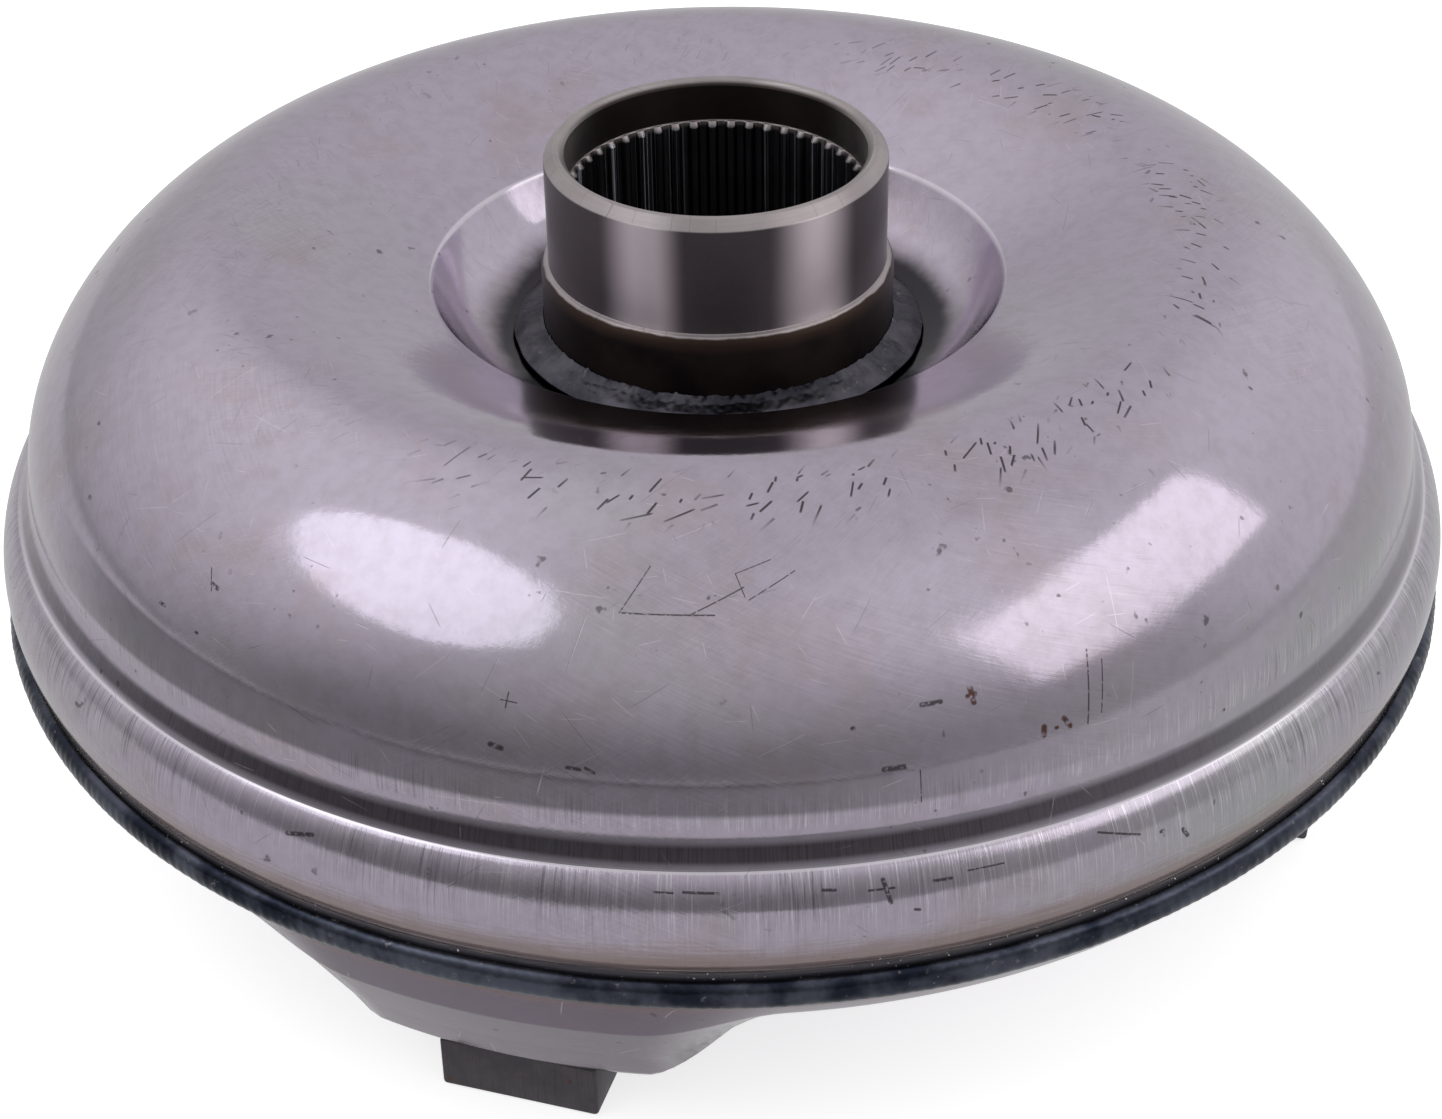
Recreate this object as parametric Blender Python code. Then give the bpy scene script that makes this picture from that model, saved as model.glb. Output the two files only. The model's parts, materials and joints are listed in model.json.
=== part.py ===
"""Torque converter, modelled as the assembly of its separate parts.

The axis of rotation is Z. The origin lies on that axis, in the plane of the drive lugs' faces, and
the pump hub points up. All lengths are metres and all profiles are (radius, height) points.

Housing (turns with the engine): front cover with its pilot boss and drive lugs, pump shell with its
hub, the impeller blades, and the welds that join them.
Turbine (turns the gearbox input shaft): turbine shell, blades, hub and rivets.
Stator: bladed wheel on a roller freewheel, whose inner race sits on a fixed splined shaft.
"""
import bmesh
import bpy
from math import cos, pi, radians, sin, tan
from mathutils import Vector

# Driving dimensions of the casing
SEAM_RADIUS = 0.1650
SEAM_HEIGHT = 0.0528
TOTAL_HEIGHT = 0.1490
CREST_RADIUS = 0.1070
CREST_HEIGHT = 0.1332
WALL_RADIUS = 0.1556
WALL_HEIGHT = 0.0860
LIP_RADIUS = 0.0637
LIP_HEIGHT = 0.1191
SHELL_THICKNESS = 0.0045
COVER_THICKNESS = 0.0050
BUTT_RADIUS = 0.1623
SEAM_HALF_HEIGHT = 0.0034
BEAD_CENTRE = (0.1560, 0.0650)
BEAD_SIZE = (0.0081, 0.0128)
CREASE = (0.1584, 0.0779)
CROWN_SLOPE = radians(22.5)
GAP = 0.0004

# Pump hub
JOURNAL_RADIUS = 0.0376
HUB_BASE_RADIUS = 0.0392
HUB_BOTTOM = 0.0987
SHOULDER_HEIGHT = 0.1222
END_FACE_RADIUS = 0.0355
END_CHAMFER_HEIGHT = 0.0022
MOUTH_RADIUS = 0.03425
COUNTERBORE_RADIUS = 0.0330
LEDGE_HEIGHT = 0.1393
HUB_SPLINE_TEETH = 48
HUB_SPLINE_TIP = 0.0315
HUB_SPLINE_ROOT = 0.0328
HUB_SPLINE_END = 0.1120

# Drive lugs and the pressed lobes that carry them
LUG_COUNT = 4
LUG_OUTER_FACE = 0.1445
LUG_WIDTH = 0.0340
LUG_DEPTH = 0.0220
LOBE_HEIGHT = 0.0132
FLOOR_HEIGHT = 0.0200
LOBE_FLAT_ANGLE = radians(11)
LOBE_END_ANGLE = radians(21.5)
THREAD_MINOR_RADIUS = 0.0045
THREAD_DEPTH = 0.0105

# Pilot boss
PILOT_RADIUS = 0.0250
PILOT_FACE = 0.0015
BOSS_FLANGE_RADIUS = 0.0480
BOSS_TOP = 0.0300

# Fluid circuit: a ring of this centre, whose middle hollow is the core
CORE_RADIUS = 0.1070
CORE_HEIGHT = 0.0850
CORE_INSIDE = 0.0170
CORE_OUTSIDE = 0.0192
BLADE_THICKNESS = 0.0014
BLADE_GAP = 0.0010
IMPELLER_BLADES = 13
TURBINE_BLADES = 11
BLADE_LEAN = radians(11)
CIRCUIT_START = radians(2.5)
CIRCUIT_END = radians(144)

# Turbine
TURBINE_THICKNESS = 0.0025
TURBINE_RADIUS = 0.1495
TURBINE_BOTTOM = 0.0395
TURBINE_RIM = 0.0838
FLANGE_HEIGHT = 0.0550
FLANGE_RADIUS = 0.0620
TURBINE_HUB_BOTTOM = 0.0339
TURBINE_HUB_TOP = 0.0640
TURBINE_SPLINE_TEETH = 20
TURBINE_SPLINE_TIP = 0.0188
TURBINE_SPLINE_ROOT = 0.0205
RIVET_COUNT = 8
RIVET_CIRCLE = 0.0540
RIVET_RADIUS = 0.0029
RIVET_HEAD_RADIUS = 0.0045

# Freewheel and stator
RACE_LOW = 0.0708
RACE_HIGH = 0.0918
INNER_RACE_RADIUS = 0.0380
OUTER_RACE_RADIUS = 0.0569
RACE_SPLINE_TEETH = 22
RACE_SPLINE_TIP = 0.0262
RACE_SPLINE_ROOT = 0.0278
ROLLER_COUNT = 8
ROLLER_RADIUS = 0.0050
ROLLER_CIRCLE = INNER_RACE_RADIUS + GAP + ROLLER_RADIUS
PLATE_THICKNESS = 0.0025
STATOR_BORE = 0.0573
STATOR_RIM = 0.0623
STATOR_OUTSIDE = 0.0877
STATOR_BLADES = 9

# Round pieces: sides of the casing, of the pieces inside and of the small ones
CASING_SIDES = 48
INNER_SIDES = 28
HUB_SIDES = 48
SMALL_SIDES = 10


# ---------------------------------------------------------------- profiles

def bezier(start, handle_a, handle_b, end, steps):
    """Points of a cubic curve, both ends included."""
    points = []
    for i in range(steps + 1):
        t = i / steps
        u = 1 - t
        weights = (u ** 3, 3 * u * u * t, 3 * u * t * t, t ** 3)
        corners = (start, handle_a, handle_b, end)
        points.append(tuple(sum(w * p[k] for w, p in zip(weights, corners)) for k in (0, 1)))
    return points


def ellipse(centre, semi_r, semi_z, first, last, steps):
    """Points of an elliptic arc between two angles in degrees, both ends included."""
    points = []
    for i in range(steps + 1):
        a = radians(first + (last - first) * i / steps)
        points.append((centre[0] + semi_r * cos(a), centre[1] + semi_z * sin(a)))
    return points


def offset(points, distance):
    """The polyline moved sideways by distance, to the right of its direction of travel."""
    moved = []
    for i, point in enumerate(points):
        before = Vector(points[max(i - 1, 0)])
        after = Vector(points[min(i + 1, len(points) - 1)])
        here = Vector(point)
        normals = []
        for a, b in ((before, here), (here, after)):
            step = b - a
            if step.length > 0:
                normals.append(Vector((step.y, -step.x)).normalized())
        middle = sum(normals, Vector((0, 0))).normalized()
        miter = distance / max(middle.dot(normals[0]), 0.5)
        moved.append(tuple(here + middle * miter))
    return moved


def reach(angle, wall):
    """Distance from the core's centre to a wall polyline, along a direction in the section."""
    ray = Vector((cos(angle), sin(angle)))
    centre = Vector((CORE_RADIUS, CORE_HEIGHT))
    best = None
    for a, b in zip(wall, wall[1:]):
        start = Vector(a) - centre
        step = Vector(b) - Vector(a)
        cross = ray.x * step.y - ray.y * step.x
        if abs(cross) < 1e-12:
            continue
        along = (start.x * step.y - start.y * step.x) / cross
        part = (start.x * ray.y - start.y * ray.x) / cross
        if along > 0 and -1e-6 <= part <= 1 + 1e-6 and (best is None or along < best):
            best = along
    return best


def pump_shell_outside():
    """Outside of the pump shell, from the seam up over the crest and down to the hub's hole."""
    skirt = [(BUTT_RADIUS, SEAM_HEIGHT + GAP), (BUTT_RADIUS, 0.0556)]
    bead = ellipse(BEAD_CENTRE, *BEAD_SIZE, -40, 0, 2)
    bulge = BEAD_CENTRE[0] + BEAD_SIZE[0]
    bead += bezier((bulge, BEAD_CENTRE[1]), (bulge, BEAD_CENTRE[1] + 0.0072),
                   (CREASE[0] + 0.0019, CREASE[1] - 0.0010), CREASE, 3)[1:]
    groove = bezier(CREASE, (CREASE[0] - 0.0008, CREASE[1] + 0.0018),
                    (WALL_RADIUS + 0.0001, WALL_HEIGHT - 0.0025), (WALL_RADIUS, WALL_HEIGHT), 2)[1:]
    shoulder = bezier((WALL_RADIUS, WALL_HEIGHT), (WALL_RADIUS, WALL_HEIGHT + 0.021),
                      (CREST_RADIUS + 0.021, CREST_HEIGHT), (CREST_RADIUS, CREST_HEIGHT), 5)
    crown = bezier((CREST_RADIUS, CREST_HEIGHT), (CREST_RADIUS - 0.009, CREST_HEIGHT),
                   (LIP_RADIUS + 0.025, LIP_HEIGHT + 0.025 * tan(CROWN_SLOPE)), (LIP_RADIUS, LIP_HEIGHT), 3)
    dish = bezier((LIP_RADIUS, LIP_HEIGHT), (LIP_RADIUS - 0.0040, LIP_HEIGHT - 0.0069),
                  (0.0552, 0.1062), (0.0462, 0.1046), 2)
    hole = [(HUB_BASE_RADIUS + GAP, 0.1034)]
    return skirt + bead + groove + shoulder[1:] + crown[1:] + dish[1:] + hole


def turbine_shell_outside():
    """Outside of the turbine shell, from its rim down past the lowest ring to the inner flange."""
    rim = TURBINE_RADIUS
    bend = 0.0235
    outer = bezier((rim, TURBINE_RIM), (rim, TURBINE_RIM - bend), (CORE_RADIUS + bend, TURBINE_BOTTOM),
                   (CORE_RADIUS, TURBINE_BOTTOM), 4)
    inner = bezier((CORE_RADIUS, TURBINE_BOTTOM), (CORE_RADIUS - 0.016, TURBINE_BOTTOM),
                   (0.0780, 0.0490), (0.0650, FLANGE_HEIGHT), 2)
    return outer + inner[1:] + [(0.0480, FLANGE_HEIGHT)]


def cover_outside(lobe):
    """Outside of the front cover from the seam to the pilot's hole; lobe is 0 or 1."""
    rim = [(BUTT_RADIUS, SEAM_HEIGHT - GAP), (BUTT_RADIUS, 0.0479)]
    if lobe:
        side = [(0.1592, 0.0371), (0.1528, 0.0250), (0.1483, 0.0162)]
        foot = [(0.1455, LOBE_HEIGHT), (0.1180, LOBE_HEIGHT), (0.1040, FLOOR_HEIGHT)]
    else:
        side = [(0.1571, 0.0410), (0.1446, 0.0296), (0.1347, 0.0231)]
        foot = [(0.1220, FLOOR_HEIGHT), (0.1100, FLOOR_HEIGHT), (0.0960, FLOOR_HEIGHT)]
    return rim + side + foot + [(PILOT_RADIUS + GAP, FLOOR_HEIGHT)]


# ---------------------------------------------------------------- building helpers

def clear_scene():
    for obj in list(bpy.data.objects):
        bpy.data.objects.remove(obj, do_unlink=True)


def material(name, colour, roughness, metallic):
    mat = bpy.data.materials.new(name)
    mat.use_nodes = True
    shader = mat.node_tree.nodes["Principled BSDF"]
    shader.inputs["Base Color"].default_value = (*colour, 1)
    shader.inputs["Roughness"].default_value = roughness
    shader.inputs["Metallic"].default_value = metallic
    return mat


def empty(name):
    """A joint's carrier, at the origin and so on the axis of rotation."""
    carrier = bpy.data.objects.new(name, None)
    bpy.context.collection.objects.link(carrier)
    return carrier


def add_object(name, bm, mat, parent):
    """An object of its own from a bmesh, shaded smooth with its edges kept sharp."""
    bmesh.ops.recalc_face_normals(bm, faces=bm.faces[:])
    mesh = bpy.data.meshes.new(name)
    bm.to_mesh(mesh)
    bm.free()
    mesh.shade_smooth()
    mesh.set_sharp_from_angle(angle=radians(35))
    obj = bpy.data.objects.new(name, mesh)
    bpy.context.collection.objects.link(obj)
    obj.data.materials.append(mat)
    obj.parent = parent
    return obj


def turned(name, profile, sides, mat, parent=None):
    """A ring turned from a closed profile. A profile that starts and ends at radius 0 is a solid."""
    bm = bmesh.new()
    columns = []
    on_axis = {}
    for i in range(sides):
        a = 2 * pi * i / sides
        column = []
        for k, (r, z) in enumerate(profile):
            if r == 0:
                if k not in on_axis:
                    on_axis[k] = bm.verts.new((0, 0, z))
                column.append(on_axis[k])
            else:
                column.append(bm.verts.new((r * cos(a), r * sin(a), z)))
        columns.append(column)
    count = len(profile)
    for i in range(sides):
        here = columns[i]
        following = columns[(i + 1) % sides]
        for k in range(count):
            m = (k + 1) % count
            corners = []
            for vert in (here[k], following[k], following[m], here[m]):
                if vert not in corners:
                    corners.append(vert)
            if len(corners) > 2:
                bm.faces.new(corners)
    return add_object(name, bm, mat, parent)


def prism(name, outline, low, high, mat=None, parent=None):
    """A straight-sided solid on an outline of (x, y) points."""
    bm = bmesh.new()
    base = bm.faces.new([bm.verts.new((x, y, low)) for x, y in outline])
    top = bmesh.ops.extrude_face_region(bm, geom=[base])["geom"]
    lifted = [part for part in top if isinstance(part, bmesh.types.BMVert)]
    bmesh.ops.translate(bm, verts=lifted, vec=(0, 0, high - low))
    return add_object(name, bm, mat or materials["cutter"], parent)


def join_mode(target, other, operation, name):
    """Cut or fuse target with a helper solid, which is then hidden."""
    modifier = target.modifiers.new(name, "BOOLEAN")
    modifier.operation = operation
    modifier.solver = "EXACT"
    modifier.object = other
    other.hide_render = True
    other.display_type = "WIRE"


def circle(radius, sides, centre=(0, 0)):
    steps = [2 * pi * i / sides for i in range(sides)]
    return [(centre[0] + radius * cos(a), centre[1] + radius * sin(a)) for a in steps]


def spline_outline(teeth, tip, root):
    """The hollow of an internal spline: root-radius grooves between teeth that end at tip radius."""
    pitch = 2 * pi / teeth
    points = []
    for i in range(teeth):
        for radius, share in ((tip, -0.34), (root, -0.17), (root, 0.17), (tip, 0.34)):
            a = pitch * (i + share)
            points.append((radius * cos(a), radius * sin(a)))
    return points


def cut_spline(target, teeth, tip, root, low, high):
    cutter = prism(target.name + "_cutter", spline_outline(teeth, tip, root), low, high)
    join_mode(target, cutter, "DIFFERENCE", "spline")


def blade_cluster(name, count, wall, side, lean):
    """Separate curved blades from the core's wall out to a shell's wall; side is 1 up or -1 down."""
    bm = bmesh.new()
    core = (CORE_INSIDE + CORE_OUTSIDE) / 2
    steps = 4
    for i in range(count):
        rings = []
        for k in range(steps + 1):
            share = k / steps
            angle = side * (CIRCUIT_START + (CIRCUIT_END - CIRCUIT_START) * share)
            turn = 2 * pi * i / count + lean * (share - 0.5)
            ring = []
            for face in (-1, 1):
                for distance in (core, reach(angle, wall) - BLADE_GAP):
                    r = CORE_RADIUS + distance * cos(angle)
                    z = CORE_HEIGHT + distance * sin(angle)
                    a = turn + face * BLADE_THICKNESS / 2 / r
                    ring.append(bm.verts.new((r * cos(a), r * sin(a), z)))
            rings.append((ring[0], ring[1], ring[3], ring[2]))
        bm.faces.new(rings[0])
        bm.faces.new(rings[-1])
        for lower, upper in zip(rings, rings[1:]):
            for k in range(4):
                m = (k + 1) % 4
                bm.faces.new((lower[k], lower[m], upper[m], upper[k]))
    return add_object(name, bm, materials["cutter"], None)


def bladed_core(name, count, wall, side, lean, mat, parent):
    """Half of the core ring with its blades brazed on, as one piece."""
    centre = (CORE_RADIUS, CORE_HEIGHT)
    first = side * 2
    last = side * 150
    outside = ellipse(centre, CORE_OUTSIDE, CORE_OUTSIDE, first, last, 4)
    inside = ellipse(centre, CORE_INSIDE, CORE_INSIDE, last, first, 4)
    core = turned(name, outside + inside, INNER_SIDES, mat, parent)
    blades = blade_cluster(name + "_guide", count, wall, side, lean)
    join_mode(core, blades, "UNION", "blades")
    return core


# ---------------------------------------------------------------- housing

def build_cover():
    """Pressed front cover: its floor is pushed down into one lobe for each drive lug."""
    plain = cover_outside(0)
    lobed = cover_outside(1)
    sections = []
    for shape in (plain, lobed):
        inside = offset(shape, COVER_THICKNESS)
        inside[0] = (inside[0][0], shape[0][1])
        inside[-1] = (shape[-1][0], inside[-1][1])
        sections.append(shape + inside[::-1])
    quarter = 2 * pi / LUG_COUNT
    ramp = LOBE_END_ANGLE - LOBE_FLAT_ANGLE
    rest = quarter / 2 - LOBE_END_ANGLE
    half = [0, LOBE_FLAT_ANGLE / 2]
    half += [LOBE_FLAT_ANGLE + ramp * k / 2 for k in range(3)]
    half += [LOBE_END_ANGLE + rest * k / 3 for k in (1, 2)]
    sector = [-a for a in half[:0:-1]] + half + [quarter / 2]
    bm = bmesh.new()
    columns = []
    for lug in range(LUG_COUNT):
        for turn in sector:
            share = min(max((LOBE_END_ANGLE - abs(turn)) / ramp, 0), 1)
            weight = share * share * (3 - 2 * share)
            a = lug * quarter + turn
            column = []
            for (r0, z0), (r1, z1) in zip(*sections):
                r = r0 + (r1 - r0) * weight
                z = z0 + (z1 - z0) * weight
                column.append(bm.verts.new((r * cos(a), r * sin(a), z)))
            columns.append(column)
    for here, following in zip(columns, columns[1:] + columns[:1]):
        for k in range(len(here)):
            m = (k + 1) % len(here)
            bm.faces.new((here[k], following[k], following[m], here[m]))
    return add_object("front_cover", bm, materials["shell"], None)


def build_pilot():
    flange_low = FLOOR_HEIGHT + COVER_THICKNESS + GAP
    profile = [(0, PILOT_FACE), (PILOT_RADIUS - 0.002, PILOT_FACE), (PILOT_RADIUS, PILOT_FACE + 0.002),
               (PILOT_RADIUS, flange_low), (BOSS_FLANGE_RADIUS, flange_low),
               (BOSS_FLANGE_RADIUS, BOSS_TOP), (0.0140, BOSS_TOP), (0.0140, 0.0120), (0, 0.0120)]
    turned("pilot_boss", profile, INNER_SIDES, materials["machined"])
    toe = FLOOR_HEIGHT - GAP
    weld = [(PILOT_RADIUS + GAP, toe), (PILOT_RADIUS + GAP, toe - 0.0045),
            (PILOT_RADIUS + 0.0032, toe - 0.0034), (PILOT_RADIUS + 0.0050, toe)]
    turned("pilot_weld", weld, INNER_SIDES, materials["weld"])
    low = BOSS_TOP + GAP
    washer = [(0.0260, low), (0.0450, low), (0.0450, TURBINE_HUB_BOTTOM - GAP),
              (0.0260, TURBINE_HUB_BOTTOM - GAP)]
    turned("cover_thrust_washer", washer, INNER_SIDES, materials["bronze"])


def build_lugs():
    """One block with a threaded hole under each lobe, its outer face square to the radius."""
    high = LOBE_HEIGHT - GAP
    middle = LUG_OUTER_FACE - LUG_DEPTH / 2
    for i in range(LUG_COUNT):
        turn = 2 * pi * i / LUG_COUNT
        name = "drive_lug_%d" % (i + 1)
        bm = bmesh.new()
        bmesh.ops.create_cube(bm, size=1)
        bmesh.ops.scale(bm, vec=(LUG_DEPTH, LUG_WIDTH, high), verts=bm.verts[:])
        bmesh.ops.translate(bm, vec=(0, 0, high / 2), verts=bm.verts[:])
        bmesh.ops.bevel(bm, geom=bm.edges[:], offset=0.0008, segments=1, affect="EDGES")
        lug = add_object(name, bm, materials["lug"], None)
        hole = prism(name + "_cutter", circle(THREAD_MINOR_RADIUS, SMALL_SIDES), -0.001, THREAD_DEPTH)
        join_mode(lug, hole, "DIFFERENCE", "threaded_hole")
        for obj in (lug, hole):
            obj.location = (middle * cos(turn), middle * sin(turn), 0)
            obj.rotation_euler = (0, 0, turn)


def build_pump():
    outside = pump_shell_outside()
    inside = offset(outside, -SHELL_THICKNESS)
    rim = (inside[0][0], outside[0][1])
    hole = (outside[-1][0], inside[-1][1])
    wall = [rim] + inside[3:13:2] + inside[13:-1] + [hole]
    turned("pump_shell", outside + wall[::-1], CASING_SIDES, materials["shell"])
    seam_centre = (BUTT_RADIUS + GAP, SEAM_HEIGHT)
    seam = ellipse(seam_centre, SEAM_RADIUS - seam_centre[0], SEAM_HALF_HEIGHT, -90, 90, 4)
    turned("seam_weld", seam, CASING_SIDES, materials["weld"])
    bladed_core("impeller_blades", IMPELLER_BLADES, wall, 1, BLADE_LEAN, materials["blade"], None)


def build_pump_hub():
    relief = HUB_SPLINE_ROOT + 0.0006
    profile = [(relief, HUB_BOTTOM), (HUB_BASE_RADIUS, HUB_BOTTOM), (HUB_BASE_RADIUS, SHOULDER_HEIGHT - 0.001),
               (JOURNAL_RADIUS + 0.0003, SHOULDER_HEIGHT + 0.0009),
               (JOURNAL_RADIUS, TOTAL_HEIGHT - END_CHAMFER_HEIGHT), (END_FACE_RADIUS, TOTAL_HEIGHT),
               (MOUTH_RADIUS, TOTAL_HEIGHT), (COUNTERBORE_RADIUS, TOTAL_HEIGHT - 0.0012),
               (COUNTERBORE_RADIUS, LEDGE_HEIGHT), (HUB_SPLINE_TIP, LEDGE_HEIGHT - 0.0013),
               (HUB_SPLINE_TIP, HUB_SPLINE_END), (relief, HUB_SPLINE_END)]
    hub = turned("pump_hub", profile, HUB_SIDES, materials["machined"])
    cut_spline(hub, HUB_SPLINE_TEETH, HUB_SPLINE_TIP - 0.0002, HUB_SPLINE_ROOT,
               HUB_SPLINE_END - 0.001, LEDGE_HEIGHT + 0.001)
    near = HUB_BASE_RADIUS + GAP
    weld = [(near, 0.1039), (0.0458, 0.1051), (0.0460, 0.1055), (0.0436, 0.1071), (near, 0.1087)]
    turned("hub_weld", weld, HUB_SIDES, materials["weld"])
    low = RACE_HIGH + PLATE_THICKNESS + 2 * GAP
    thrust_bearing("pump_thrust_bearing", low, HUB_BOTTOM - GAP, None)


def thrust_bearing(name, low, high, parent):
    """A needle bearing, simplified to a plain ring of its outside size."""
    profile = [(0.0340, low), (0.0460, low), (0.0460, high), (0.0340, high)]
    turned(name, profile, INNER_SIDES, materials["bearing"], parent)


# ---------------------------------------------------------------- turbine

def rivet_places():
    turns = [2 * pi * (i + 0.5) / RIVET_COUNT for i in range(RIVET_COUNT)]
    return [(RIVET_CIRCLE * cos(a), RIVET_CIRCLE * sin(a)) for a in turns]


def drill_rivet_holes(target):
    """One cutter with a straight hole for each rivet."""
    bm = bmesh.new()
    for x, y in rivet_places():
        bmesh.ops.create_cone(bm, cap_ends=True, segments=8, radius1=RIVET_RADIUS + GAP,
                              radius2=RIVET_RADIUS + GAP, depth=0.030)
        fresh = [v for v in bm.verts if not v.tag]
        bmesh.ops.translate(bm, vec=(x, y, FLANGE_HEIGHT), verts=fresh)
        for vert in fresh:
            vert.tag = True
    holes = add_object(target.name + "_rivet_cutter", bm, materials["cutter"], None)
    join_mode(target, holes, "DIFFERENCE", "rivet_holes")


def build_turbine(axis):
    outside = turbine_shell_outside()
    inside = offset(outside, TURBINE_THICKNESS)
    inside[0] = (inside[0][0], outside[0][1])
    inside[-1] = (outside[-1][0], inside[-1][1])
    shell = turned("turbine_shell", outside + inside[::-1], INNER_SIDES, materials["inner"], axis)
    drill_rivet_holes(shell)
    bladed_core("turbine_blades", TURBINE_BLADES, inside, -1, -BLADE_LEAN, materials["blade"], axis)
    under = FLANGE_HEIGHT - GAP
    profile = [(TURBINE_SPLINE_TIP, TURBINE_HUB_BOTTOM), (0.0300, TURBINE_HUB_BOTTOM), (0.0300, 0.0490),
               (FLANGE_RADIUS, 0.0490), (FLANGE_RADIUS, under), (0.0465, under),
               (0.0465, TURBINE_HUB_TOP), (TURBINE_SPLINE_TIP, TURBINE_HUB_TOP)]
    hub = turned("turbine_hub", profile, INNER_SIDES, materials["machined"], axis)
    drill_rivet_holes(hub)
    cut_spline(hub, TURBINE_SPLINE_TEETH, TURBINE_SPLINE_TIP - 0.0002, TURBINE_SPLINE_ROOT,
               TURBINE_HUB_BOTTOM - 0.001, TURBINE_HUB_TOP + 0.001)
    top = FLANGE_HEIGHT + TURBINE_THICKNESS + GAP
    rivet = [(0, 0.0463), (0.0030, 0.0463), (RIVET_HEAD_RADIUS, 0.0473), (RIVET_HEAD_RADIUS, 0.0490 - GAP),
             (RIVET_RADIUS, 0.0490 - GAP), (RIVET_RADIUS, top), (RIVET_HEAD_RADIUS, top),
             (0.0030, top + 0.0018), (0, top + 0.0018)]
    for i, (x, y) in enumerate(rivet_places()):
        obj = turned("turbine_rivet_%d" % (i + 1), rivet, 8, materials["bearing"], axis)
        obj.location = (x, y, 0)
    thrust_bearing("turbine_thrust_bearing", TURBINE_HUB_TOP + GAP,
                   RACE_LOW - PLATE_THICKNESS - 2 * GAP, axis)


# ---------------------------------------------------------------- freewheel and stator

def build_inner_race(axis):
    profile = [(RACE_SPLINE_TIP, RACE_LOW), (INNER_RACE_RADIUS, RACE_LOW), (INNER_RACE_RADIUS, RACE_HIGH),
               (RACE_SPLINE_TIP, RACE_HIGH)]
    race = turned("freewheel_inner_race", profile, HUB_SIDES, materials["bearing"], axis)
    cut_spline(race, RACE_SPLINE_TEETH, RACE_SPLINE_TIP - 0.0002, RACE_SPLINE_ROOT,
               RACE_LOW - 0.001, RACE_HIGH + 0.001)


def build_outer_race(axis):
    """Cam ring: each roller lies in a pocket whose far side closes in as a ramp."""
    pitch = 2 * pi / ROLLER_COUNT
    web = INNER_RACE_RADIUS + 0.0030
    pocket = ROLLER_RADIUS + GAP
    inner = []
    for i in range(ROLLER_COUNT):
        middle = pitch * i
        inner.append((web * cos(middle - pitch * 0.36), web * sin(middle - pitch * 0.36)))
        for step in range(-3, 4):
            spread = radians(24 * step)
            out = ROLLER_CIRCLE + pocket * cos(spread) * (1.0 if step >= 0 else 1.04)
            side = pocket * sin(spread) * (1.04 if step >= 0 else 1.35)
            inner.append((out * cos(middle) - side * sin(middle), out * sin(middle) + side * cos(middle)))
        inner.append((web * cos(middle + pitch * 0.30), web * sin(middle + pitch * 0.30)))
    ring = prism("freewheel_outer_race", circle(OUTER_RACE_RADIUS, HUB_SIDES), RACE_LOW, RACE_HIGH,
                 materials["bearing"], axis)
    hollow = prism("outer_race_cutter", inner, RACE_LOW - 0.001, RACE_HIGH + 0.001)
    join_mode(ring, hollow, "DIFFERENCE", "cam_bore")


def build_rollers(axis):
    low = RACE_LOW + GAP
    high = RACE_HIGH - GAP
    roller = [(0, low), (ROLLER_RADIUS, low), (ROLLER_RADIUS, high), (0, high)]
    for i in range(ROLLER_COUNT):
        a = 2 * pi * i / ROLLER_COUNT
        obj = turned("freewheel_roller_%d" % (i + 1), roller, SMALL_SIDES, materials["bearing"], axis)
        obj.location = (ROLLER_CIRCLE * cos(a), ROLLER_CIRCLE * sin(a), 0)


def build_side_plates(axis):
    inner = 0.0335
    outer = STATOR_BORE - GAP
    for name, low in (("freewheel_front_plate", RACE_LOW - GAP - PLATE_THICKNESS),
                      ("freewheel_rear_plate", RACE_HIGH + GAP)):
        high = low + PLATE_THICKNESS
        profile = [(inner, low), (outer, low), (outer, high), (inner, high)]
        turned(name, profile, INNER_SIDES, materials["bronze"], axis)


def snap_groove_height():
    return RACE_HIGH + PLATE_THICKNESS + 2 * GAP


def build_snap_ring(axis):
    """Open spring ring in the groove above the rear plate."""
    low = snap_groove_height() + GAP
    half_gap = radians(14)
    steps = 24
    turns = [half_gap + (2 * pi - 2 * half_gap) * i / steps for i in range(steps + 1)]
    outer = [(0.0592 * cos(a), 0.0592 * sin(a)) for a in turns]
    inner = [(0.0545 * cos(a), 0.0545 * sin(a)) for a in reversed(turns)]
    prism("stator_snap_ring", outer + inner, low, low + 0.0012, materials["bearing"], axis)


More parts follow.
